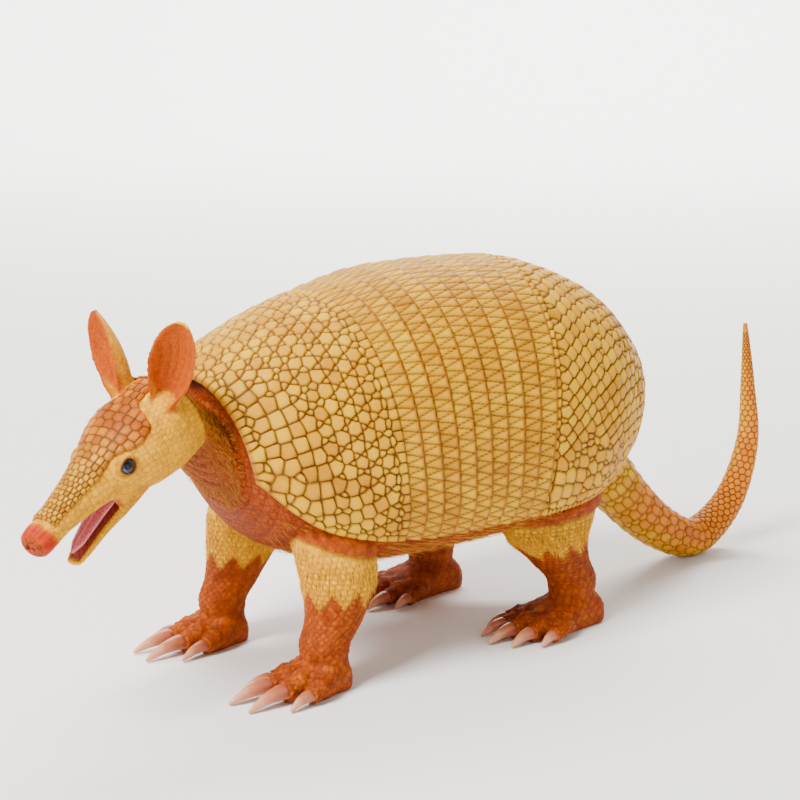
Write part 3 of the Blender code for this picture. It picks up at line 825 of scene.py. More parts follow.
def ear_skin(side):
    """One ear, a curled leaf: out over its back, then in over its hollow."""
    root, rise, opening, across = ear_frame(side)

    def place(along, around):
        turn = around / (2 * math.pi)
        sideways = np.where(turn < 0.5, 2 * turn, 2 - 2 * turn)
        radius, half = read_columns(ear_sections, along)
        angle = np.radians(half) * (2 * sideways - 1)
        bulge = 0.0035 * np.sin(math.pi * along)
        spine = root + np.outer(along * ear_long, rise) + np.outer(radius - 0.0062 - bulge, opening)
        wall = ear_thick * np.sqrt(np.clip(1 - np.abs(2 * sideways - 1) ** 24, 0, 1))
        curl = radius - 0.1 * mm - np.where(turn < 0.5, 0, wall)
        around_way = np.outer(-np.cos(angle), opening) + np.outer(np.sin(angle), across)
        return spine + around_way * curl[:, None]

    return place


front_leg = (
    (0.00, 0.035, -0.054, 0.104, 0.0195, 0.0240),
    (0.25, 0.040, -0.056, 0.080, 0.0195, 0.0235),
    (0.50, 0.0455, -0.057, 0.056, 0.0180, 0.0205),
    (0.75, 0.0485, -0.0625, 0.036, 0.0145, 0.0155),
    (1.00, 0.0490, -0.0690, 0.0225, 0.0135, 0.0130),
    (1.20, 0.0490, -0.0690, 0.0100, 0.0125, 0.0120),
)
hind_leg = (
    (0.00, 0.040, 0.094, 0.102, 0.0220, 0.0420),
    (0.25, 0.044, 0.090, 0.078, 0.0215, 0.0380),
    (0.50, 0.048, 0.088, 0.058, 0.0185, 0.0280),
    (0.75, 0.0500, 0.0965, 0.040, 0.0140, 0.0185),
    (1.00, 0.0510, 0.1050, 0.0255, 0.0125, 0.0150),
    (1.20, 0.0510, 0.1050, 0.0100, 0.0115, 0.0140),
)
front_foot = (
    (0.00, 0.0125, 0.0085, 0.0120),
    (0.15, 0.0075, 0.0130, 0.0185),
    (0.42, -0.0010, 0.0150, 0.0205),
    (0.66, -0.0090, 0.0175, 0.0175),
    (0.89, -0.0165, 0.0180, 0.0130),
    (1.00, -0.0200, 0.0150, 0.0100),
)
hind_foot = (
    (0.00, 0.0200, 0.0075, 0.0120),
    (0.14, 0.0130, 0.0120, 0.0190),
    (0.37, 0.0010, 0.0140, 0.0215),
    (0.67, -0.0140, 0.0165, 0.0180),
    (0.92, -0.0270, 0.0195, 0.0130),
    (1.00, -0.0310, 0.0145, 0.0100),
)
# Toes from the inside outwards: root across, root along, heading outwards, length, radius, then the
# claw's length and radius
front_toes = (
    (-0.0142, -0.0115, -11, 0.0105, 0.0050, 0.0165, 0.0040),
    (-0.0050, -0.0165, -4, 0.0130, 0.0060, 0.0245, 0.0050),
    (0.0056, -0.0160, 4, 0.0130, 0.0060, 0.0235, 0.0049),
    (0.0148, -0.0105, 12, 0.0100, 0.0049, 0.0150, 0.0039),
)
hind_toes = (
    (-0.0166, -0.0205, -13, 0.0118, 0.0047, 0.0125, 0.0037),
    (-0.0090, -0.0285, -6, 0.0125, 0.0052, 0.0165, 0.0043),
    (0.0004, -0.0310, 0, 0.0135, 0.0055, 0.0180, 0.0046),
    (0.0098, -0.0280, 6, 0.0125, 0.0052, 0.0160, 0.0043),
    (0.0172, -0.0195, 13, 0.0122, 0.0045, 0.0115, 0.0035),
)
limbs = (
    ("front", "left", 1, front_leg, front_foot, front_toes, 0.0),
    ("front", "right", -1, front_leg, front_foot, front_toes, 0.0),
    ("hind", "left", 1, hind_leg, hind_foot, hind_toes, 0.0),
    ("hind", "right", -1, hind_leg, hind_foot, hind_toes, -0.022),
)


def leg_surface(limb):
    """The surface of one leg, from inside the trunk (0) to the ankle (1)."""
    _, _, side, leg, _, _, step = limb

    def place(at, angle, out):
        x, y, z, half_width, half_depth = read_columns(leg, at)
        centre = np.stack([x * side, y - middle_y + step * np.minimum(at, 1), z], axis=1)
        sizes = np.stack([half_width, half_depth, half_depth]) + out
        return on_section(centre, left_way, forward_way, sizes, angle, 2.1)

    return place


def leg_skin(limb):
    surface = leg_surface(limb)

    def place(along, around):
        return surface(along * 1.2, around, -0.15 * mm)

    return place


def sleeve_hem(angle):
    """Height where the gold of a leg ends, in pointed tongues round it."""
    return 0.0445 + 0.0090 * np.abs(2 * ((angle * 8 / (2 * math.pi)) % 1) - 1)


def ankle_of(limb):
    _, _, side, leg, _, _, step = limb
    return np.array((leg[4][1] * side, leg[4][2] - middle_y + step, 0))


def foot_skin(limb):
    ankle, foot = ankle_of(limb), limb[4]

    def place(along, around):
        behind, half_width, top = read_columns(foot, along)
        half = (top + 0.003) / 2
        centre = ankle + np.stack([behind * 0, behind, top - half], axis=1)
        sizes = np.stack([half_width, half, half]) - 0.1 * mm
        return on_section(centre, left_way, up_way, sizes, around, 2.6)

    return place


def toe_frame(limb, toe):
    """A toe's root on the floor, its heading and the way across it."""
    across, along, heading = toe[0], toe[1], math.radians(toe[2])
    way = np.array((math.sin(heading) * limb[2], -math.cos(heading), 0))
    return ankle_of(limb) + (across * limb[2], along, 0), way, np.cross(up_way, way)


def toe_skin(limb, toe):
    root, way, side = toe_frame(limb, toe)
    length, radius = toe[3], toe[4]
    toe_sections = (
        (-0.4, 1.50, 0.95),
        (0.05, 1.50, 0.98),
        (0.36, 1.48, 1.08),
        (0.62, 1.25, 0.93),
        (1.00, 1.00, 0.90),
        (1.13, 0.92, 0.72),
    )

    def place(along, around):
        share = -0.4 + 1.53 * along
        height, size = read_columns(toe_sections, share)
        centre = root + np.outer(share * length, way) + np.outer(height * radius, up_way)
        sizes = np.stack([size * 0.97, size, size]) * radius
        return on_section(centre, side, up_way, sizes, around, 2.2)

    return place


def eye_spot(side, out=-0.0034):
    """The eye's middle, or the spot this far out from the face in front of it."""
    return head_surface(np.array([0.545]), np.array([side * math.radians(71)]), out)[0]


def eye_frame(side):
    """The eye's middle, the way it looks, and the ways along and across its lids."""
    middle = eye_spot(side)
    look = unit(eye_spot(side, 0.01) - middle)
    along = unit(head_forward - look * look.dot(head_forward))
    return middle, look, along, np.cross(look, along) * side


def lid_skin(side, half_long, half_high, ball, low, rim):
    """A ring of skin round the eye, heavier above: the lids' rim on the ball, or the fold outside it."""
    middle, look, along_way, up = eye_frame(side)

    def place(along, around):
        turn = along * 2 * math.pi
        sideways = np.outer(np.cos(turn) * half_long, along_way) + np.outer(np.sin(turn) * half_high, up)
        reach = np.sqrt(np.maximum(ball**2 - (sideways**2).sum(axis=1), low**2))
        spot = sideways + np.outer(reach, look)
        thick = rim * (1 - 0.3 * np.sin(turn))
        outer = unit(spot) * (np.cos(around) * thick)[:, None]
        return middle + spot + outer + unit(sideways) * (np.sin(around) * thick)[:, None]

    return place


flesh_middle = flesh_surface(np.zeros(36), np.arange(36) * math.pi / 18, 0).mean(axis=0)
forms = [
    ("trunk", 90, 120, trunk_skin),
    ("trunk", 24, 60, tail_root_skin),
    ("neck", 30, 90, neck_skin),
    ("head", 120, 90, head_skin),
    ("jaw", 60, 60, jaw_skin),
]
for side in (1, -1):
    forms.append(("cheek", 16, 24, cheek_skin(side)))
    forms.append(("ear", 70, 90, ear_skin(side)))
for limb in limbs:
    forms.append(("leg", 60, 60, leg_skin(limb)))
    forms.append(("foot", 40, 50, foot_skin(limb)))
    for toe in limb[5]:
        forms.append(("foot", 24, 30, toe_skin(limb, toe)))

shape = bmesh.new()
labels = []
for label, rows, columns, place in forms:
    roll_tube(shape, rows, columns, place)
    labels += [label] * (len(shape.verts) - len(labels))
for side in (1, -1):
    ball = bmesh.ops.create_icosphere(shape, subdivisions=4, radius=eye_radius + 0.5 * mm)["verts"]
    bmesh.ops.translate(shape, verts=ball, vec=eye_spot(side))
for side in (1, -1):
    # Millimetres: half the opening along and across, the ball it lies on, its least height, its thickness
    for ring in ((4.5, 3.5, 5.55, 0, 1.25), (6.0, 5.1, 0, 1.3, 1.6)):
        roll_tube(shape, 48, 16, lid_skin(side, *(size * mm for size in ring)), ring=True)
labels += ["lid"] * (len(shape.verts) - len(labels))
bmesh.ops.recalc_face_normals(shape, faces=shape.faces)
skin = to_mesh(shape, "skin_forms")
form_tree = grow_tree(mesh_points(skin))

worker = add_object("skin_forms", skin)
remesh = worker.modifiers.new("one_surface", "REMESH")
remesh.mode = "VOXEL"
remesh.voxel_size = 0.72 * mm
smooth = worker.modifiers.new("soften", "SMOOTH")
smooth.factor = 0.5
smooth.iterations = 4


def applied(worker, name):
    """The worker's mesh with its modifiers applied. The worker itself is removed."""
    bpy.context.view_layer.update()
    done = bpy.data.meshes.new_from_object(worker.evaluated_get(bpy.context.evaluated_depsgraph_get()))
    done.name = name
    old = worker.data
    bpy.data.objects.remove(worker)
    bpy.data.meshes.remove(old)
    return done


skin = applied(worker, "skin")
points = mesh_points(skin)
part = np.array(labels)[[form_tree.find(point)[1] for point in points]]
ends = np.empty(len(skin.edges) * 2, int)
skin.edges.foreach_get("vertices", ends)
ends = ends.reshape(-1, 2)
joined = np.bincount(ends.ravel(), minlength=len(points))


def soften(values, rounds):
    """Spreads values over the skin, so that one zone runs into the next."""
    values = np.asarray(values, float)
    for _ in range(rounds):
        summed = np.bincount(ends[:, 0], values[ends[:, 1]], len(points))
        summed += np.bincount(ends[:, 1], values[ends[:, 0]], len(points))
        values = 0.5 * values + 0.5 * summed / joined
    return values


def round_the_eye(side, half_long, half_high):
    """How far the skin lies from the eye's middle, in such openings and in metres, and how far ahead."""
    middle, look, along_way, up = eye_frame(side)
    away = points - middle
    opening = np.hypot(away @ along_way / (half_long * mm), away @ up / (half_high * mm))
    return opening, lengths(away), away @ look


# The skin slopes evenly from the lids down to the face
smooth_points = np.stack([soften(points[:, axis], 60) for axis in range(3)], axis=1)
for side in (1, -1):
    opening, reach, ahead = round_the_eye(side, 3.9, 3.0)
    share = smooth_step(opening, 1.45, 2.1) * smooth_step(0.014 - reach, 0, 0.004)
    points += (share * (ahead > -0.004))[:, None] * (smooth_points - points)
skin.vertices.foreach_set("co", points.ravel())
skin.update()
normals = mesh_points(skin, "normal")
legs, feet, ears = part == "leg", part == "foot", part == "ear"
trunk, necks, heads, jaws = part == "trunk", part == "neck", part == "head", part == "jaw"
chest_line = -0.128  # the trunk's hide is bare and folded in front of here

# Where each point lies along the head, in the head's own directions
from_nape = points - np.array(nape)
head_at = 1 - from_nape @ head_forward / head_long
head_side = from_nape @ head_left
from_hinge = points - hinge
jaw_at = from_hinge @ jaw_forward / jaw_long


def scale_row(surface, at, row, spacing, low=0.0, turn=2 * math.pi):
    """Middles of a row of scales that runs round a surface from one angle on."""
    count = round(row_length(surface, at, low, turn) / spacing)
    return surface(np.full(count, at), low + row_angles(count, row, turn), 0)


def scales_on(points, rows, scatter, seam_from, seam_to):
    """Scales round the middles in these rows: for each point, how far its scale's middle is, its rise
    from the seam (0) to the scale's face (1), and its scale's own shade."""
    middles = np.vstack(rows)
    middles = middles + draw.normal(0, scatter, middles.shape) * mm
    scute, reach, gap = nearest_scutes(points, middles)
    rise = smooth_step(gap, seam_from * mm, seam_to * mm)
    return reach, rise, draw.random(len(middles))[scute]


# The scales of the legs and feet lie in staggered rows and get larger down the leg. They are strong in
# front and outside, and fade on the inner side and under the shell
rows = []
for limb in limbs:
    leg_long, foot_long = 0.092, 0.034 if limb[0] == "front" else 0.052
    at, row = 0.22, 0
    while at < 1.05:
        step = (2.9 + 0.9 * at) * mm
        rows.append(scale_row(leg_surface(limb), at, row, step * 1.12))
        at, row = at + step * 0.86 / leg_long, row + 1
    foot = foot_skin(limb)
    count = round(foot_long / (3.2 * mm))
    for row in range(1, count):
        angles = row_angles(16, row)
        rows.append(foot(np.full(16, row / count), angles + 0.25 * np.sin(angles)))
    for toe in limb[5]:
        place = toe_skin(limb, toe)
        for row in range(7):
            angles = row_angles(6, row, 1.3 * math.pi) - 0.6 * math.pi
            rows.append(place(np.full(6, 0.24 + 0.11 * row), angles))
height, seam = np.zeros(len(points)), np.zeros(len(points))
tone = np.full(len(points), 0.5)
scaly = np.where(legs | feet)[0]
reach, rise, shade = scales_on(points[scaly], rows, 0.22, 0.02, 0.55)
strength = smooth_step(points[scaly, 2], 0.088, 0.060) * smooth_step(points[scaly, 2], 0.0, 0.004)
outer = np.sign(points[scaly, 0]) * normals[scaly, 0] - normals[scaly, 1]
strength = strength * (0.55 + 0.45 * smooth_step(outer, -0.8, 0.3))
dome = 1 - np.clip(reach / (1.9 * mm), 0, 1) ** 2
height[scaly] = strength * ((rise - 1) * 0.42 + dome * rise * 0.30) * mm
seam[scaly] = (1 - rise) * strength
tone[scaly] = shade

# The sides of the face carry small flat scales, and the backs of the ears are pebbled all over
rows = []
for row in range(30):
    rows.append(scale_row(head_surface, 0.10 + 0.03 * row, row, 3.1 * mm))
    rows.append(scale_row(jaw_surface, row / 29, row, 2.8 * mm))
along, around = np.meshgrid(np.linspace(0.05, 0.98, 27), np.linspace(0, 2 * math.pi, 40))
for side in (1, -1):
    rows.append(ear_skin(side)(along.ravel(), around.ravel()))
face = np.where(heads | jaws | ears)[0]
_, rise, shade = scales_on(points[face], rows, 0.35, 0.02, 0.5)
height[face] += (rise - 1) * np.where(ears[face], 0.14, 0.26) * mm
seam[face] = (1 - rise) * np.where(ears[face], 0.25, 0.42)
tone[face] = 0.5 + 0.6 * (shade - 0.5)

# Ridges run up the hollow of each ear, with painted shade between them
for side in (1, -1):
    root, rise_way, opening, across_way = ear_frame(side)
    own = ears & (np.sign(head_side) == side) & (normals @ opening > 0.1)
    across, up_ear = (points[own] - root) @ across_way, (points[own] - root) @ rise_way / ear_long
    apart = 3.6 * mm * (0.7 + 0.6 * up_ear)
    ridges = np.sin(across * 2 * math.pi / apart + 0.6 * np.sin(9 * up_ear))
    ridges = ridges * smooth_step(up_ear, 0.15, 0.35) * smooth_step(0.92 - up_ear, 0, 0.3)
    height[own] += 0.22 * mm * ridges
    seam[own] = np.maximum(seam[own], 0.35 * smooth_step(-ridges, 0.2, 0.9))

# The neck folds across into six rolls, with painted shade in the hollows between them
along, around = np.meshgrid(np.linspace(0, 1, 160), np.linspace(0, 2 * math.pi, 120))
along, around = along.ravel(), around.ravel()
neck_tree = grow_tree(neck_skin(along, around))
neck = np.where(necks | (trunk & (points[:, 1] < chest_line)))[0]
found = np.array([neck_tree.find(point)[1] for point in points[neck]])
neck_t = along[found] * 1.27 - 0.15
neck_t = neck_t + 0.012 * np.sin(3 * around[found]) + 0.008 * np.sin(7 * around[found])
folds = np.abs(np.sin(neck_t * math.pi * 6))
fading = smooth_step(neck_t, -0.15, -0.05) * smooth_step(1.04 - neck_t, 0, 0.1)
height[neck] += fading * (np.sqrt(folds) - 0.8) * 1.6 * mm
seam[neck] = fading * 0.75 * smooth_step(0.42 - folds, 0, 0.35)

# Belly: soft creases with painted shade in them, as far apart as the rows of hair, and small scales all over
belly = smooth_step(-normals[:, 2], 0.1, 0.7) * trunk * smooth_step(points[:, 1], -0.115, -0.095)
across_belly = points[:, 1] + 1.5 * mm * np.sin(points[:, 0] * 110)
crease = np.abs(np.sin(across_belly * math.pi / (8.5 * mm)))
height += belly * (np.sqrt(crease) - 0.8) * 0.8 * mm
seam = np.maximum(seam, belly * smooth_step(0.3 - crease, 0, 0.3) * 0.6)
low, turn = math.radians(180 - 95), math.radians(190)
rows = []
for row in range(6, 66):
    rows.append(scale_row(flesh_surface, 0.008 + row * 0.0148, row, 4.6 * mm, low, turn))
under = np.where(trunk & (points[:, 2] < 0.100) & (points[:, 1] > chest_line))[0]
_, rise, shade = scales_on(points[under], rows, 0.6, 0.02, 0.7)
height[under] += (rise - 1) * 0.7 * mm
seam[under] = np.maximum(seam[under], 0.8 * (1 - rise))
tone[under] = 0.5 + 0.5 * (shade - 0.5)

# Loose folds of the chest run round the root of the neck, with painted shade in the hollows between them
chest = trunk & (points[:, 1] < -0.126)
across, lift = points[chest, 0], points[chest, 2] - flesh_middle[2]
from_neck = np.hypot(across, lift) + 0.9 * mm * np.sin(3 * np.arctan2(across, lift))
folds = np.abs(np.sin(from_neck * math.pi / (7.0 * mm)))
forwards = smooth_step(-normals[chest, 1], 0.1, 0.6)
height[chest] += forwards * (np.sqrt(folds) - 0.8) * 0.9 * mm
seam[chest] = np.maximum(seam[chest], forwards * 0.7 * smooth_step(0.4 - folds, 0, 0.35))

# Where a leg leaves the shell, a smooth fold of brown skin rings it, with a crease below it in painted shade
edge_at = np.linspace(0, 1, 80)
edge_line = body_surface(edge_at, np.radians(read_columns(shell_edge, edge_at)[0]), 0)


def below_shell(points):
    """How far points lie below the shell's lower edge."""
    return np.interp(points[:, 1], edge_line[:, 1], edge_line[:, 2]) - points[:, 2]


below = below_shell(points)
height += legs * 1.3 * mm * np.exp(-(((below - 0.0045) / 0.0036) ** 2))
crease = legs * np.exp(-(((below - 0.0100) / 0.0011) ** 2))
height -= crease * 0.5 * mm
seam = np.maximum(seam, 0.7 * crease)

# Nostrils, open to the front and a little to the side
nostril = np.zeros(len(points))
for side in (1, -1):
    spot = np.array(nape) + head_forward * head_long + (head_left * side * 3.4 + head_up * 0.9) * mm
    apart = lengths(points - spot) / (2.3 * mm)
    nostril = np.maximum(nostril, np.exp(-(apart**2)) * heads)
height -= nostril * 3.2 * mm
height += heads * 0.4 * mm * np.exp(-((nostril - 0.25) / 0.14) ** 2)

# Mouth: the lips roll over its edge, and the lining inside is smooth and wet
palate = heads * smooth_step(-normals @ head_up, 0.45, 0.85) * smooth_step(0.62 - head_at, 0, 0.05)
palate = palate * smooth_step(head_at - 0.07, 0, 0.03)
floor_of_mouth = jaws * smooth_step(normals @ jaw_up, 0.55, 0.9) * smooth_step(0.97 - jaw_at, 0, 0.05)
head_width = read_columns(head_sections, np.clip(head_at, 0, 1))[0]
palate = palate * smooth_step(head_width * 0.80 - np.abs(head_side), 0, 1.2 * mm)
jaw_inside = read_columns(jaw_sections, np.clip(jaw_at, 0, 1))[0] * 0.82 - np.abs(from_hinge @ jaw_left)
floor_of_mouth = floor_of_mouth * smooth_step(jaw_inside, 0, 1.0 * mm)
mouth = np.maximum(palate, floor_of_mouth)
height -= palate * 1.6 * mm + floor_of_mouth * 1.3 * mm

# The eye lies in an almond-shaped opening between its lids
seat = eye_radius - 0.7 * mm
for side in (1, -1):
    opening, reach, ahead = round_the_eye(side, 3.9, 3.0)
    inside = (opening < 1) & (ahead > 0) & (reach < 0.010)
    away = points[inside] - eye_spot(side)
    sunk = eye_spot(side) + away * (seat / reach[inside])[:, None]
    points[inside] = np.where((reach[inside] > seat)[:, None], sunk, points[inside])
    height[inside] = 0
    near = (opening > 1.2) & (opening < 2.6) & (ahead > 0) & (reach < 0.011)
    wrinkles = np.sin(opening[near] * 2 * math.pi * 2.4) * smooth_step(opening[near], 1.2, 1.5)
    height[near] += 0.2 * mm * wrinkles * smooth_step(2.5 - opening[near], 0, 0.5)

points = points + normals * height[:, None]
points[:, 2] = np.maximum(points[:, 2], 0)
skin.vertices.foreach_set("co", points.ravel())

nose = heads * smooth_step(0.088 - head_at + 0.006 * np.sin(head_side * 900), -0.02, 0.03)
lid = np.zeros(len(points))
# rim: the nostrils and the skin inside each eye's opening are painted near black, a painted shade in the
# holes
rim = smooth_step(nostril, 0.15, 0.7)
ear_hollow = np.zeros(len(points))
for side in (1, -1):
    opening, reach, ahead = round_the_eye(side, 5.0, 4.1)
    close = (ahead > 0) & (reach < 0.012)
    lid = np.maximum(lid, close * smooth_step(1.4 - opening, 0, 0.5))
    rim = np.maximum(rim, close * smooth_step(0.95 - opening, 0, 0.14))
    own = ears & (np.sign(head_side) == side)
    ear_hollow[own] = smooth_step(normals[own] @ ear_frame(side)[2], 0.0, 0.35)
cheeks = part == "cheek"
# cheek: painted shade round each corner of the mouth
from_corner = lengths(points - (hinge + jaw_up * 0.004))
cheek = (heads | jaws | cheeks) * np.exp(-((from_corner / 0.021) ** 4))
golden = (heads | jaws | cheeks | (part == "lid")) * (1 - nose)
for limb in limbs:
    _, _, side, leg, _, _, step = limb
    own = np.where(legs & (points[:, 0] * side > 0) & ((points[:, 1] > 0.015) == (limb[0] == "hind")))[0]
    at = np.interp(-points[own, 2], [-row[3] for row in leg], [row[0] for row in leg])
    x, y, _, _, _ = read_columns(leg, at)
    ahead = y - middle_y + step * np.minimum(at, 1) - points[own, 1]
    over_hem = points[own, 2] - sleeve_hem(np.arctan2(points[own, 0] - x * side, ahead))
    golden[own] = smooth_step(over_hem, -0.6 * mm, 0.6 * mm)
    golden[own] *= smooth_step(below[own], 0.0092, 0.0104)
golden = np.maximum(golden, ears * (1 - ear_hollow) * 0.8)
keep_values(
    skin,
    seam=seam,
    tone=tone,
    nose=soften(nose, 4),
    rim=rim,
    mouth=mouth,
    lid=soften(lid, 3),
    ear_hollow=soften(ear_hollow, 6),
    golden=soften(golden, 3),
    cheek=soften(cheek, 4),
    creased=soften(necks | (trunk & (points[:, 1] < -0.124)), 5),
    # dark: the hide's own brown; deeper on the neck and trunk, where it is partly painted shade under head
    # and shell
    dark=soften(feet * 0.65 + (trunk | necks) * 1.0 + legs * 0.65 * (1 - golden), 8),
)

# Hidden under the armour the skin is plain, so it needs few faces there
worker = add_object("skin", skin)
plain = worker.vertex_groups.new(name="plain")
around = np.abs(np.arctan2(points[:, 0], points[:, 2] - 0.100))
hidden = trunk & (around < math.radians(98)) & (points[:, 1] > chest_line)
chest = trunk & ~hidden & (points[:, 1] < -0.115)
for weight, chosen in (
    (1.0, hidden),
    (0.12, trunk & ~hidden),
    (0.02, chest | necks | legs | feet),
    (0.0, heads | ears | jaws),
):
    plain.add(np.where(chosen)[0].tolist(), weight, "REPLACE")
fewer = worker.modifiers.new("fewer_faces", "DECIMATE")
fewer.ratio = 0.185
fewer.vertex_group = "plain"
fewer.vertex_group_factor = 1.0
skin = applied(worker, "skin")

# Thick tanned hide: dull and pebbled, orange-brown, with paler golden hide on the face and upper legs.
# Stains are 22 mm across, pebbles 1.6 mm, and the small scales of the neck and chest 3.6 mm. The pores
# are drawn 0.7 mm across, coarser than in life, so that they show
leather, tree, shader = new_material(
    "leather_skin",
    Roughness=0.56,
    Specular_IOR_Level=0.12,
    Subsurface_Weight=0.06,
    Subsurface_Radius=(0.004, 0.0018, 0.001),
)
place_here = add_node(tree, "TexCoord", give="Object")
zones = ("tone", "seam", "nose", "mouth", "golden", "dark", "cheek", "ear_hollow", "lid", "rim", "creased")
zones = {zone: add_node(tree, "Attribute", give="Fac", attribute_name=zone) for zone in zones}
stains = add_node(tree, "TexNoise", {"Vector": place_here, "Scale": 45, "Detail": 5, "Roughness": 0.62})
fine = add_node(tree, "TexNoise", {"Vector": place_here, "Scale": 1500, "Detail": 4, "Roughness": 0.6})
pebbles = add_node(tree, "TexVoronoi", {"Vector": place_here, "Scale": 620, "Randomness": 0.9})
pebbles = add_node(tree, "MapRange", {"Value": pebbles, "From Max": 0.75, "To Min": 0.62, "To Max": 0.38})
cells = {"Vector": place_here, "Scale": 280, "Randomness": 0.8}
to_edge = add_node(tree, "TexVoronoi", cells, feature="DISTANCE_TO_EDGE")
at_edge = add_node(tree, "MapRange", {"Value": to_edge, "From Max": 0.15, "To Min": 1, "To Max": 0})
# Cracks between the small scales of the neck and chest are sunk and painted darker, a painted shade
crack = add_node(tree, "Math", {0: at_edge, 1: zones["creased"]}, operation="MULTIPLY")
crack_shade = add_node(tree, "Math", {0: crack, 1: 0.75}, operation="MULTIPLY")
zones["seam"] = add_node(tree, "Math", {0: zones["seam"], 1: crack_shade}, operation="MAXIMUM")
varied = add_node(tree, "Mix", {0: 0.35, 2: stains, 3: zones["tone"]})
brown_stops = [(0.22, "#762C00"), (0.5, "#B24C00"), (0.78, "#D66C00")]
gold_stops = [(0.22, "#BA7A00"), (0.5, "#E6A400"), (0.78, "#F8BC00")]
colour = add_node(tree, "ValToRGB", {"Fac": varied}, brown_stops)
gold = add_node(tree, "ValToRGB", {"Fac": varied}, gold_stops)
# seam: dark joins with painted shade in their grooves, and painted shade in the folds, creases and cracks
for zone, amount, shade in (
    ("golden", 1.0, gold),
    ("dark", 0.62, "#862E00"),
    ("cheek", 0.5, "#B06C14"),
    ("ear_hollow", 0.7, "#BE5000"),
    ("nose", 0.92, "#BC2800"),
    ("lid", 0.8, "#6E3210"),
    ("mouth", 0.95, "#A63E3A"),
    ("rim", 0.95, "#240A06"),
    ("seam", 0.7, "#451C08"),
):
    share = add_node(tree, "Math", {0: zones[zone], 1: amount}, operation="MULTIPLY")
    colour = add_node(tree, "Mix", {0: share, 6: colour, 7: shade}, give=2, data_type="RGBA")
mixed = {0: 0.7, 6: colour, 7: pebbles}
colour = add_node(tree, "Mix", mixed, give=2, data_type="RGBA", blend_type="OVERLAY")
damp = add_node(tree, "Math", {0: zones["nose"], 1: 0.5}, operation="MULTIPLY")
wet = add_node(tree, "Math", {0: zones["mouth"], 1: damp}, operation="MAXIMUM")
sheen = add_node(tree, "MapRange", {"Value": wet, "To Min": 0.64, "To Max": 0.30})
dry = add_node(tree, "MapRange", {"Value": wet, "To Min": 0.8, "To Max": 0.15})
pores = add_node(tree, "Math", {0: fine, 1: 0.5, 2: pebbles}, operation="MULTIPLY_ADD")
sunk = add_node(tree, "Math", {0: crack, 1: -0.6, 2: pores}, operation="MULTIPLY_ADD")
relief = add_node(tree, "Bump", {"Height": sunk, "Strength": dry, "Distance": 0.9 * mm})
plug(shader, {"Base Color": colour, "Roughness": sheen, "Normal": relief})
flesh_nodes = ["trunk", "neck", "head", "jaw", "ear_left", "ear_right"]
for end in ("front", "hind"):
    for kind in ("leg", "foot"):
        flesh_nodes += [f"{end}_{kind}_left", f"{end}_{kind}_right"]
add_piece("skin", skin, leather, flesh_nodes)


# Head shield
#
# A thin cap of horn scutes grown on the skull, over the snout's bridge and the forehead. It is narrow
# between the ears, and its scutes get larger towards the back.
shield_edge = (
    (0.12, 54),
    (0.40, 54),
    (0.52, 44),
    (0.64, 57),
    (0.73, 52),
    (0.81, 16),
    (0.97, 13),
)


def crest_surface(along, across, out):
    at = 0.12 + 0.85 * along
    edge = np.radians(read_columns(shield_edge, at)[0])
    return head_surface(at, edge * (2 * across - 1), out + 1.3 * mm)


mesh, along, across, level = plate_mesh("head_armour", 200, 110)
rows = []
at, row = 0.0, 0
while at < 1.0:
    step = (3.0 + 2.6 * smooth_step(at, 0.2, 0.6)) * mm
    count = max(1, round(row_length(crest_surface, at) / step))
    spots = (np.arange(count + 1) + 0.5 * (row % 2)) / (count + 0.5)
    rows.append(crest_surface(np.full(count + 1, at), np.clip(spots, 0.02, 0.98), 0))
    at, row = at + step * 0.92 / (head_long * 0.85), row + 1
reach, rise, shade = scales_on(crest_surface(along, across, 0), rows, 0.25, 0.03, 0.5)
front, rear, side = from_edges(crest_surface, along, across)
rim = np.minimum(np.minimum(front, rear), side)
crown = 1 - np.clip(reach / (2.6 * mm), 0, 1) ** 2
height = ((rise - 1) * 0.45 + crown * rise * 0.25) * mm
height -= 0.9 * mm * (1 - smooth_step(rim, 0, 1.6 * mm))
out = np.where(level == 0, height, -1.5 * mm)
mesh.vertices.foreach_set("co", crest_surface(along, across, out).ravel())
# edge: painted shade along the shield's rim
keep_values(
    mesh,
    tone=0.55 * shade,
    seam=1 - rise,
    crown=crown * rise,
    edge=0.6 * (1 - smooth_step(rim, 0, 1.2 * mm)),
    warm=smooth_step(along, 0.30, 0.66) * 0.9,
)
add_piece("head_armour", mesh, scute_horn, ["head_shield"])


# Eyes
#
# Small glassy eyes, each a firm ball with a dark blue iris round a wide pupil. They are seated in the
# flesh of the face, and the lids close round them.

# Moist eyeball: a clear wet film over a slate blue iris and a black pupil
eyeball, tree, shader = new_material(
    "moist_eyeball", Roughness=0.12, IOR=1.38, Coat_Weight=0.35, Coat_Roughness=0.03
)
off_axis = add_node(tree, "Attribute", give="Fac", attribute_name="off_axis")
pupil_stops = [(0.0, "#030304"), (0.32, "#040406")]
iris_stops = [(0.36, "#22345A"), (0.50, "#3A5488"), (0.58, "#0C1424"), (0.7, "#1C1614")]
plug(shader, {"Base Color": add_node(tree, "ValToRGB", {"Fac": off_axis}, pupil_stops + iris_stops)})
for name, side in (("left", 1), ("right", -1)):
    middle, look, _, _ = eye_frame(side)
    shape = bmesh.new()
    bmesh.ops.create_icosphere(shape, subdivisions=5, radius=eye_radius - 0.05 * mm)
    bmesh.ops.translate(shape, verts=shape.verts, vec=middle)
    mesh = to_mesh(shape, f"eyeball_{name}")
    ways = (mesh_points(mesh) - middle) / eye_radius
    keep_values(mesh, off_axis=np.arccos(np.clip(ways @ look, -1, 1)) / 1.45)
    add_piece(f"eyeball_{name}", mesh, eyeball, [f"eye_{name}"])


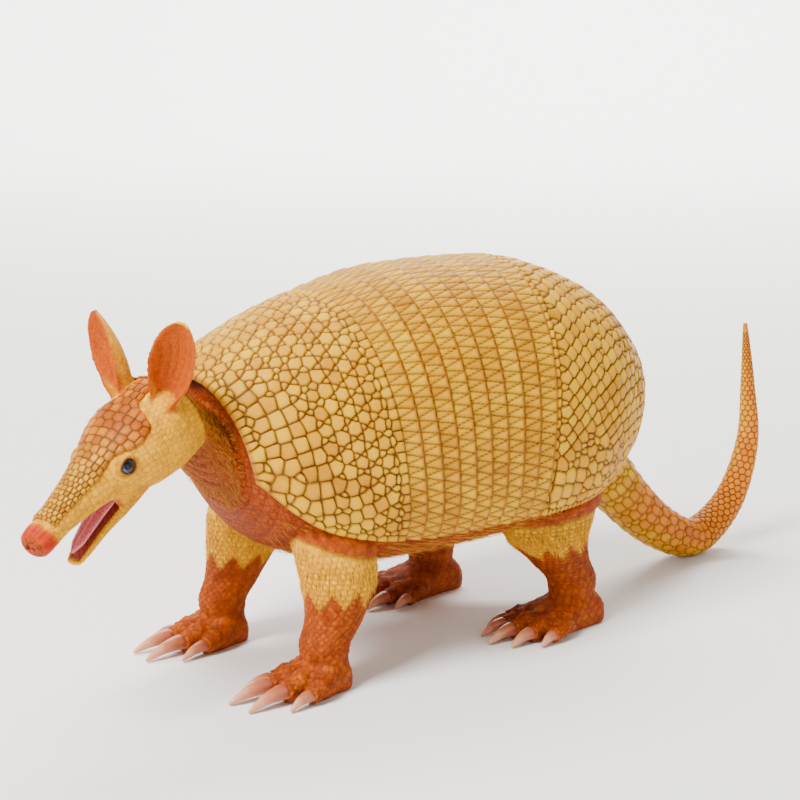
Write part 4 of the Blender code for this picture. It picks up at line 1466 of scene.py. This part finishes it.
# Tongue
#
# A long soft tongue of muscle under a wet skin. It lies in the lower jaw, rooted at the hinge, and is
# grooved along its middle.
tongue_sections = (
    (0.06, 0.0030, 0.0008),
    (0.10, 0.0095, 0.0019),
    (0.30, 0.0082, 0.0019),
    (0.50, 0.0062, 0.0018),
    (0.70, 0.0048, 0.0017),
    (0.84, 0.0037, 0.0014),
    (0.92, 0.0022, 0.0009),
)


def tongue_surface(along, around):
    at = 0.06 + 0.86 * along
    half_width, high = read_columns(tongue_sections, at)
    half_width = half_width * np.sqrt(np.clip((1 - along) * 8, 0, 1))
    bed = read_columns(jaw_sections, at)[1] + 1.3 * mm + 0.6 * mm * at
    centre = hinge + np.outer(at * jaw_long, jaw_forward) + np.outer(bed, jaw_up)
    sizes = np.stack([half_width * 0.97, high + 0.5 * mm, high * 0 + 1.0 * mm])
    groove = 0.5 * mm * np.exp(-((np.sin(around) / 0.16) ** 2)) * (np.cos(around) > 0)
    return on_section(centre, jaw_left, jaw_up, sizes, around, 2.3) - np.outer(groove, jaw_up)


shape = bmesh.new()
roll_tube(shape, 90, 72, tongue_surface)
mesh = to_mesh(shape, "tongue")
# Wet muscle: deep pink, with a soft gloss over buds 0.8 mm across
tongue_flesh, tree, shader = new_material(
    "wet_tongue",
    Roughness=0.28,
    Coat_Weight=0.4,
    Subsurface_Weight=0.15,
    Subsurface_Radius=(0.003, 0.001, 0.0008),
)
place_here = add_node(tree, "TexCoord", give="Object")
buds = add_node(tree, "TexNoise", {"Vector": place_here, "Scale": 1300, "Detail": 3})
pink = add_node(tree, "ValToRGB", {"Fac": buds}, [(0.3, "#B84650"), (0.7, "#D8767A")])
relief = add_node(tree, "Bump", {"Height": buds, "Strength": 0.5, "Distance": 0.2 * mm})
plug(shader, {"Base Color": pink, "Normal": relief})
add_piece("tongue", mesh, tongue_flesh, ["tongue"])


# Claws
#
# Thick digging claws of solid horn: arched, flat underneath, worn blunt at the tips and ribbed along.
# Each grows out of the end of a toe, which holds its root.

# Claw horn: smooth beige-pink keratin, browner at the root, stained in 4 mm patches, with fine lines along
claw_horn, tree, shader = new_material(
    "claw_keratin",
    Roughness=0.34,
    Specular_IOR_Level=0.5,
    Coat_Weight=0.15,
    Subsurface_Weight=0.08,
    Subsurface_Radius=(0.002, 0.001, 0.0006),
)
ribs = add_node(tree, "Attribute", give="Fac", attribute_name="rib")
along_claw = add_node(tree, "Attribute", give="Fac", attribute_name="claw_share")
place_here = add_node(tree, "TexCoord", give="Object")
stain = add_node(tree, "TexNoise", {"Vector": place_here, "Scale": 260, "Detail": 5, "Roughness": 0.6})
shade = add_node(tree, "Math", {0: stain, 1: 0.5, 2: along_claw}, operation="MULTIPLY_ADD")
horn_stops = [(0.2, "#6A3014"), (0.42, "#A0502E"), (0.8, "#B86C48"), (0.95, "#CC8C68")]
horn_colour = add_node(tree, "ValToRGB", {"Fac": shade}, horn_stops)
relief = add_node(tree, "Bump", {"Height": ribs, "Strength": 0.35, "Distance": 0.2 * mm})
plug(shader, {"Base Color": horn_colour, "Normal": relief})


def claw_surface(limb, toe):
    root, way, side = toe_frame(limb, toe)
    toe_length, toe_radius, length, radius = toe[3:7]
    start = root + way * (toe_length + 0.6 * mm) + up_way * toe_radius

    def place(along, around):
        # The claw's root reaches back into the toe, where its sheath holds it
        share = -0.16 + 1.16 * along
        outer = np.clip(share, 0, 1)
        fall = outer**1.25
        size = radius * (1 - outer) ** 0.62 + 0.35 * mm
        size = size * np.where(share < 0, 0.94 + 0.9 * share, 1) + 0.05 * mm
        centre = start + np.outer(length * share, way)
        centre[:, 2] = start[2] * (1 - fall) + (fall + 1.1 * np.sin(math.pi * outer)) * mm
        tilt = unit(up_way + np.outer(0.35 + 0.25 * outer, way))
        return on_section(centre, side, tilt, np.stack([size * 0.84, size, size * 0.72]), around, 2.1)

    return place


for limb in limbs:
    for number, toe in enumerate(limb[5]):
        name = f"claw_{limb[0]}_{limb[1]}_{number + 1}"
        shape = bmesh.new()
        roll_tube(shape, 56, 40, claw_surface(limb, toe))
        bmesh.ops.recalc_face_normals(shape, faces=shape.faces)
        mesh = to_mesh(shape, f"horn_{name}")
        points = mesh_points(mesh)
        points[:, 2] = np.maximum(points[:, 2], 0.05 * mm)
        mesh.vertices.foreach_set("co", points.ravel())
        root, way, side = toe_frame(limb, toe)
        down_claw = (points - root) @ way
        across = (points - root) @ side
        keep_values(
            mesh,
            claw_share=np.clip((down_claw - toe[3]) / toe[5], 0, 1),
            rib=0.5 + 0.5 * np.sin(across / (0.45 * mm) * 2 * math.pi + number),
        )
        add_piece(mesh.name, mesh, claw_horn, [name])


# Hair
#
# Sparse stiff hair of pale gold. Short locks lie down the upper legs and end in a pointed hem, longer
# ones lie in rows on the belly and loosely on the neck and chest, and a few stand behind each plate.
lock = bmesh.new()
bmesh.ops.create_cone(lock, cap_ends=True, segments=3, radius1=0.5, radius2=0.0, depth=1)
for cut in (-0.12, 0.22):
    whole = lock.verts[:] + lock.edges[:] + lock.faces[:]
    bmesh.ops.bisect_plane(lock, geom=whole, plane_co=(0, 0, cut), plane_no=(0, 0, 1))
bmesh.ops.triangulate(lock, faces=lock.faces)
bmesh.ops.recalc_face_normals(lock, faces=lock.faces)
lock_mesh = to_mesh(lock, "lock")
lock_points = mesh_points(lock_mesh)
lock_faces = np.array([face.vertices[:] for face in lock_mesh.polygons])
bpy.data.meshes.remove(lock_mesh)


def chest_skin(along, around):
    """The front of the chest, from the root of the neck outwards."""
    ring = flesh_surface(along * 0, around, -0.3 * mm)
    return flesh_middle + (ring - flesh_middle) * (0.55 + 0.43 * along)[:, None]


skin_faces = [face.vertices[:] for face in skin.polygons]
skin_tree = BVHTree.FromPolygons(mesh_points(skin).tolist(), skin_faces)


def sow(place, along, around, patch):
    """Roots on the skin over a form: where they stand, their ways along and out, their spot on its unwrap."""
    tiny = 1e-3
    here = place(along, around)
    way = place(np.clip(along + tiny, 0, 1), around) - place(np.clip(along - tiny, 0, 1), around)
    out = unit(np.cross(way, place(along, around + tiny) - place(along, around - tiny)))
    found = [skin_tree.find_nearest(spot) for spot in here]
    root, facing = (np.array([pair[i][:] for pair in found]) for i in range(2))
    out *= np.sign((out * facing).sum(axis=1))[:, None]
    out = out * 0.65 + facing * 0.35
    way -= out * ((way * out).sum(axis=1) / (out * out).sum(axis=1))[:, None]
    out, way = unit(out), unit(way)
    u_low, v_low, u_size, v_size = patch
    spot = np.stack([u_low + u_size * along, v_low + v_size * (around / (2 * math.pi) % 1)], axis=1)
    allowed = (7 if place is chest_skin else 2.2) * mm
    near = (lengths(root - here) < allowed) & ((out * facing).sum(axis=1) > 0.3)
    return tuple(part[near] for part in (root, way, out, spot))


def grow_hair(name, beds):
    """One joined mesh of bent locks. Each bed: its roots, and its locks' length, width, lift, brownness."""
    root, way, out, spot = (np.concatenate(parts) for parts in zip(*(roots for roots, _ in beds)))
    counts = [len(roots[0]) for roots, _ in beds]
    long, wide, lift, brown = np.repeat([look for _, look in beds], counts, axis=0).T
    count = len(root)
    side = np.cross(way, out)
    way = unit(way + side * draw.normal(0, 0.16, count)[:, None])
    side = np.cross(way, out)
    share = (lock_points[:, 2] + 0.5)[None, :]
    long, lift = (long * draw.uniform(0.75, 1.2, count))[:, None], lift[:, None]
    curl = draw.normal(0, 0.10, count)[:, None]
    path_way = long * share
    path_out = long * (lift * share - 0.75 * lift * share**2) - 0.5 * mm * (1 - share)
    path_side = long * curl * share**2
    girth = wide[:, None] * (1.0 + 0.9 * share) * np.where(share > 0.99, 0, 1)
    across = girth * lock_points[None, :, 0] + path_side
    thick = 0.5 * girth * lock_points[None, :, 1] + path_out
    points = root[:, None, :] + path_way[..., None] * way[:, None, :]
    points = points + across[..., None] * side[:, None, :] + thick[..., None] * out[:, None, :]
    points[..., 2] = np.maximum(points[..., 2], 0.3 * mm)
    faces = lock_faces[None] + (np.arange(count) * len(lock_points))[:, None, None]
    mesh = bpy.data.meshes.new(name)
    mesh.vertices.add(count * len(lock_points))
    mesh.vertices.foreach_set("co", points.ravel())
    mesh.loops.add(faces.size)
    mesh.loops.foreach_set("vertex_index", faces.ravel())
    mesh.polygons.add(faces.size // 3)
    mesh.polygons.foreach_set("loop_start", np.arange(0, faces.size, 3))
    mesh.update(calc_edges=True)
    in_patch = np.stack([share[0] - 0.5, lock_points[:, 0]], axis=1) * 0.003
    unwrap = spot[:, None, :] + in_patch[None]
    layer = mesh.uv_layers.new(name="OFBake")
    layer.data.foreach_set("uv", unwrap.reshape(-1, 2)[faces.ravel()].ravel())
    keep_values(
        mesh,
        tone=np.repeat(draw.random(count), len(lock_points)),
        tip=np.tile(share[0], count),
        brown=np.repeat(brown, len(lock_points)),
    )
    return mesh


# Coarse hair: pale gold keratin, darker at the root, with a soft shine along each hair
coarse_hair, tree, shader = new_material("coarse_hair", Roughness=0.45, Specular_IOR_Level=0.12)
tone, tip, brown = (
    add_node(tree, "Attribute", give="Fac", attribute_name=name) for name in ("tone", "tip", "brown")
)
along_hair = add_node(tree, "Mix", {0: 0.5, 2: tone, 3: tip})
gold_stops = [(0.1, "#A86800"), (0.45, "#D89406"), (0.85, "#F0B420")]
brown_stops = [(0.1, "#7E4206"), (0.45, "#B47018"), (0.85, "#D89C40")]
gold = add_node(tree, "ValToRGB", {"Fac": along_hair}, gold_stops)
brown_hair = add_node(tree, "ValToRGB", {"Fac": along_hair}, brown_stops)
colour = add_node(tree, "Mix", {0: brown, 6: gold, 7: brown_hair}, give=2, data_type="RGBA")
plug(shader, {"Base Color": colour})

for number, limb in enumerate(limbs):
    along = (0.10 + 0.62 * draw.random(5200)) / 1.2
    around = 2 * math.pi * draw.random(5200)
    roots = sow(leg_skin(limb), along, around, (0.02 + 0.245 * number, 0.52, 0.2, 0.22))
    hem = sleeve_hem(2 * math.pi * (roots[3][:, 1] - 0.52) / 0.22)
    kept = (roots[0][:, 2] > hem + 0.0045) & (below_shell(roots[0]) > 0.0105)
    bed = tuple(part[kept] for part in roots), (6.5 * mm, 0.55 * mm, 0.16, 0)
    mesh = grow_hair(f"sleeve_hair_{limb[0]}_{limb[1]}", [bed])
    add_piece(mesh.name, mesh, coarse_hair, [])

# Each bed: its form, how many, where along and round it in degrees, length and width in millimetres,
# lift, brownness, its place on the unwrap, and its rows
beds = []
for place, many, low, high, start, turn, length, width, lift, shade, patch, rows in (
    (trunk_skin, 5200, 0.06, 0.95, 118, 124, 9.5, 0.34, 0.30, 0.75, (0.02, 0.02, 0.6, 0.46), 31),
    (neck_skin, 2200, 0.14, 0.86, 40, 280, 4.6, 0.24, 0.45, 0.9, (0.66, 0.02, 0.3, 0.2), 0),
    (chest_skin, 1100, 0.05, 0.95, 30, 300, 5.0, 0.24, 0.35, 0.95, (0.66, 0.54, 0.3, 0.1), 0),
    (head_skin, 1500, 0.62, 0.97, 68, 224, 3.0, 0.24, 0.30, 0.1, (0.66, 0.26, 0.3, 0.1), 0),
    (head_skin, 500, 0.20, 0.60, 70, 220, 2.0, 0.20, 0.35, 0.1, (0.66, 0.38, 0.3, 0.1), 0),
    (jaw_skin, 450, 0.10, 0.90, 100, 160, 2.2, 0.20, 0.35, 0.1, (0.66, 0.49, 0.3, 0.02), 0),
):
    along = low + (high - low) * draw.random(many)
    if rows:
        along = (np.floor(along * rows) + 0.5 + draw.normal(0, 0.08, many)) / rows
    around = np.radians(start + turn * draw.random(many))
    root, way, out, spot = sow(place, np.clip(along, 0.01, 0.99), around, patch)
    if place is jaw_skin:
        way = -way
    beds.append(((root, way, out, spot), (length * mm, width * mm, lift, shade)))
mesh = grow_hair("body_hair", beds)
add_piece(mesh.name, mesh, coarse_hair, [])

beds = []
half = np.full(110, 0.5)
for row in range(10):
    edge_at = shoulder_end + band_width * row
    place = shell_place(edge_at - 0.02, edge_at + 0.02)
    across = spread_evenly(place, draw.random(110))
    root = place(half, across, -1.6 * mm)
    way = unit(place(half + 0.2, across, 0) - place(half, across, 0))
    out = unit(place(half, across, 1.0) - place(half, across, 0))
    spot = np.stack([half * 0 + 0.02 + 0.09 * row, 0.78 + 0.2 * across], axis=1)
    beds.append(((root, way, out, spot), (4.4 * mm, 0.24 * mm, 0.35, 0.3)))
mesh = grow_hair("plate_hair", beds)
add_piece(mesh.name, mesh, coarse_hair, [])

# The size of the finished model beside that of the plain solids
new_low, new_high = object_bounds()
size = {"cad": [list(cad_low), list(cad_high)], "visual": [list(new_low), list(new_high)]}
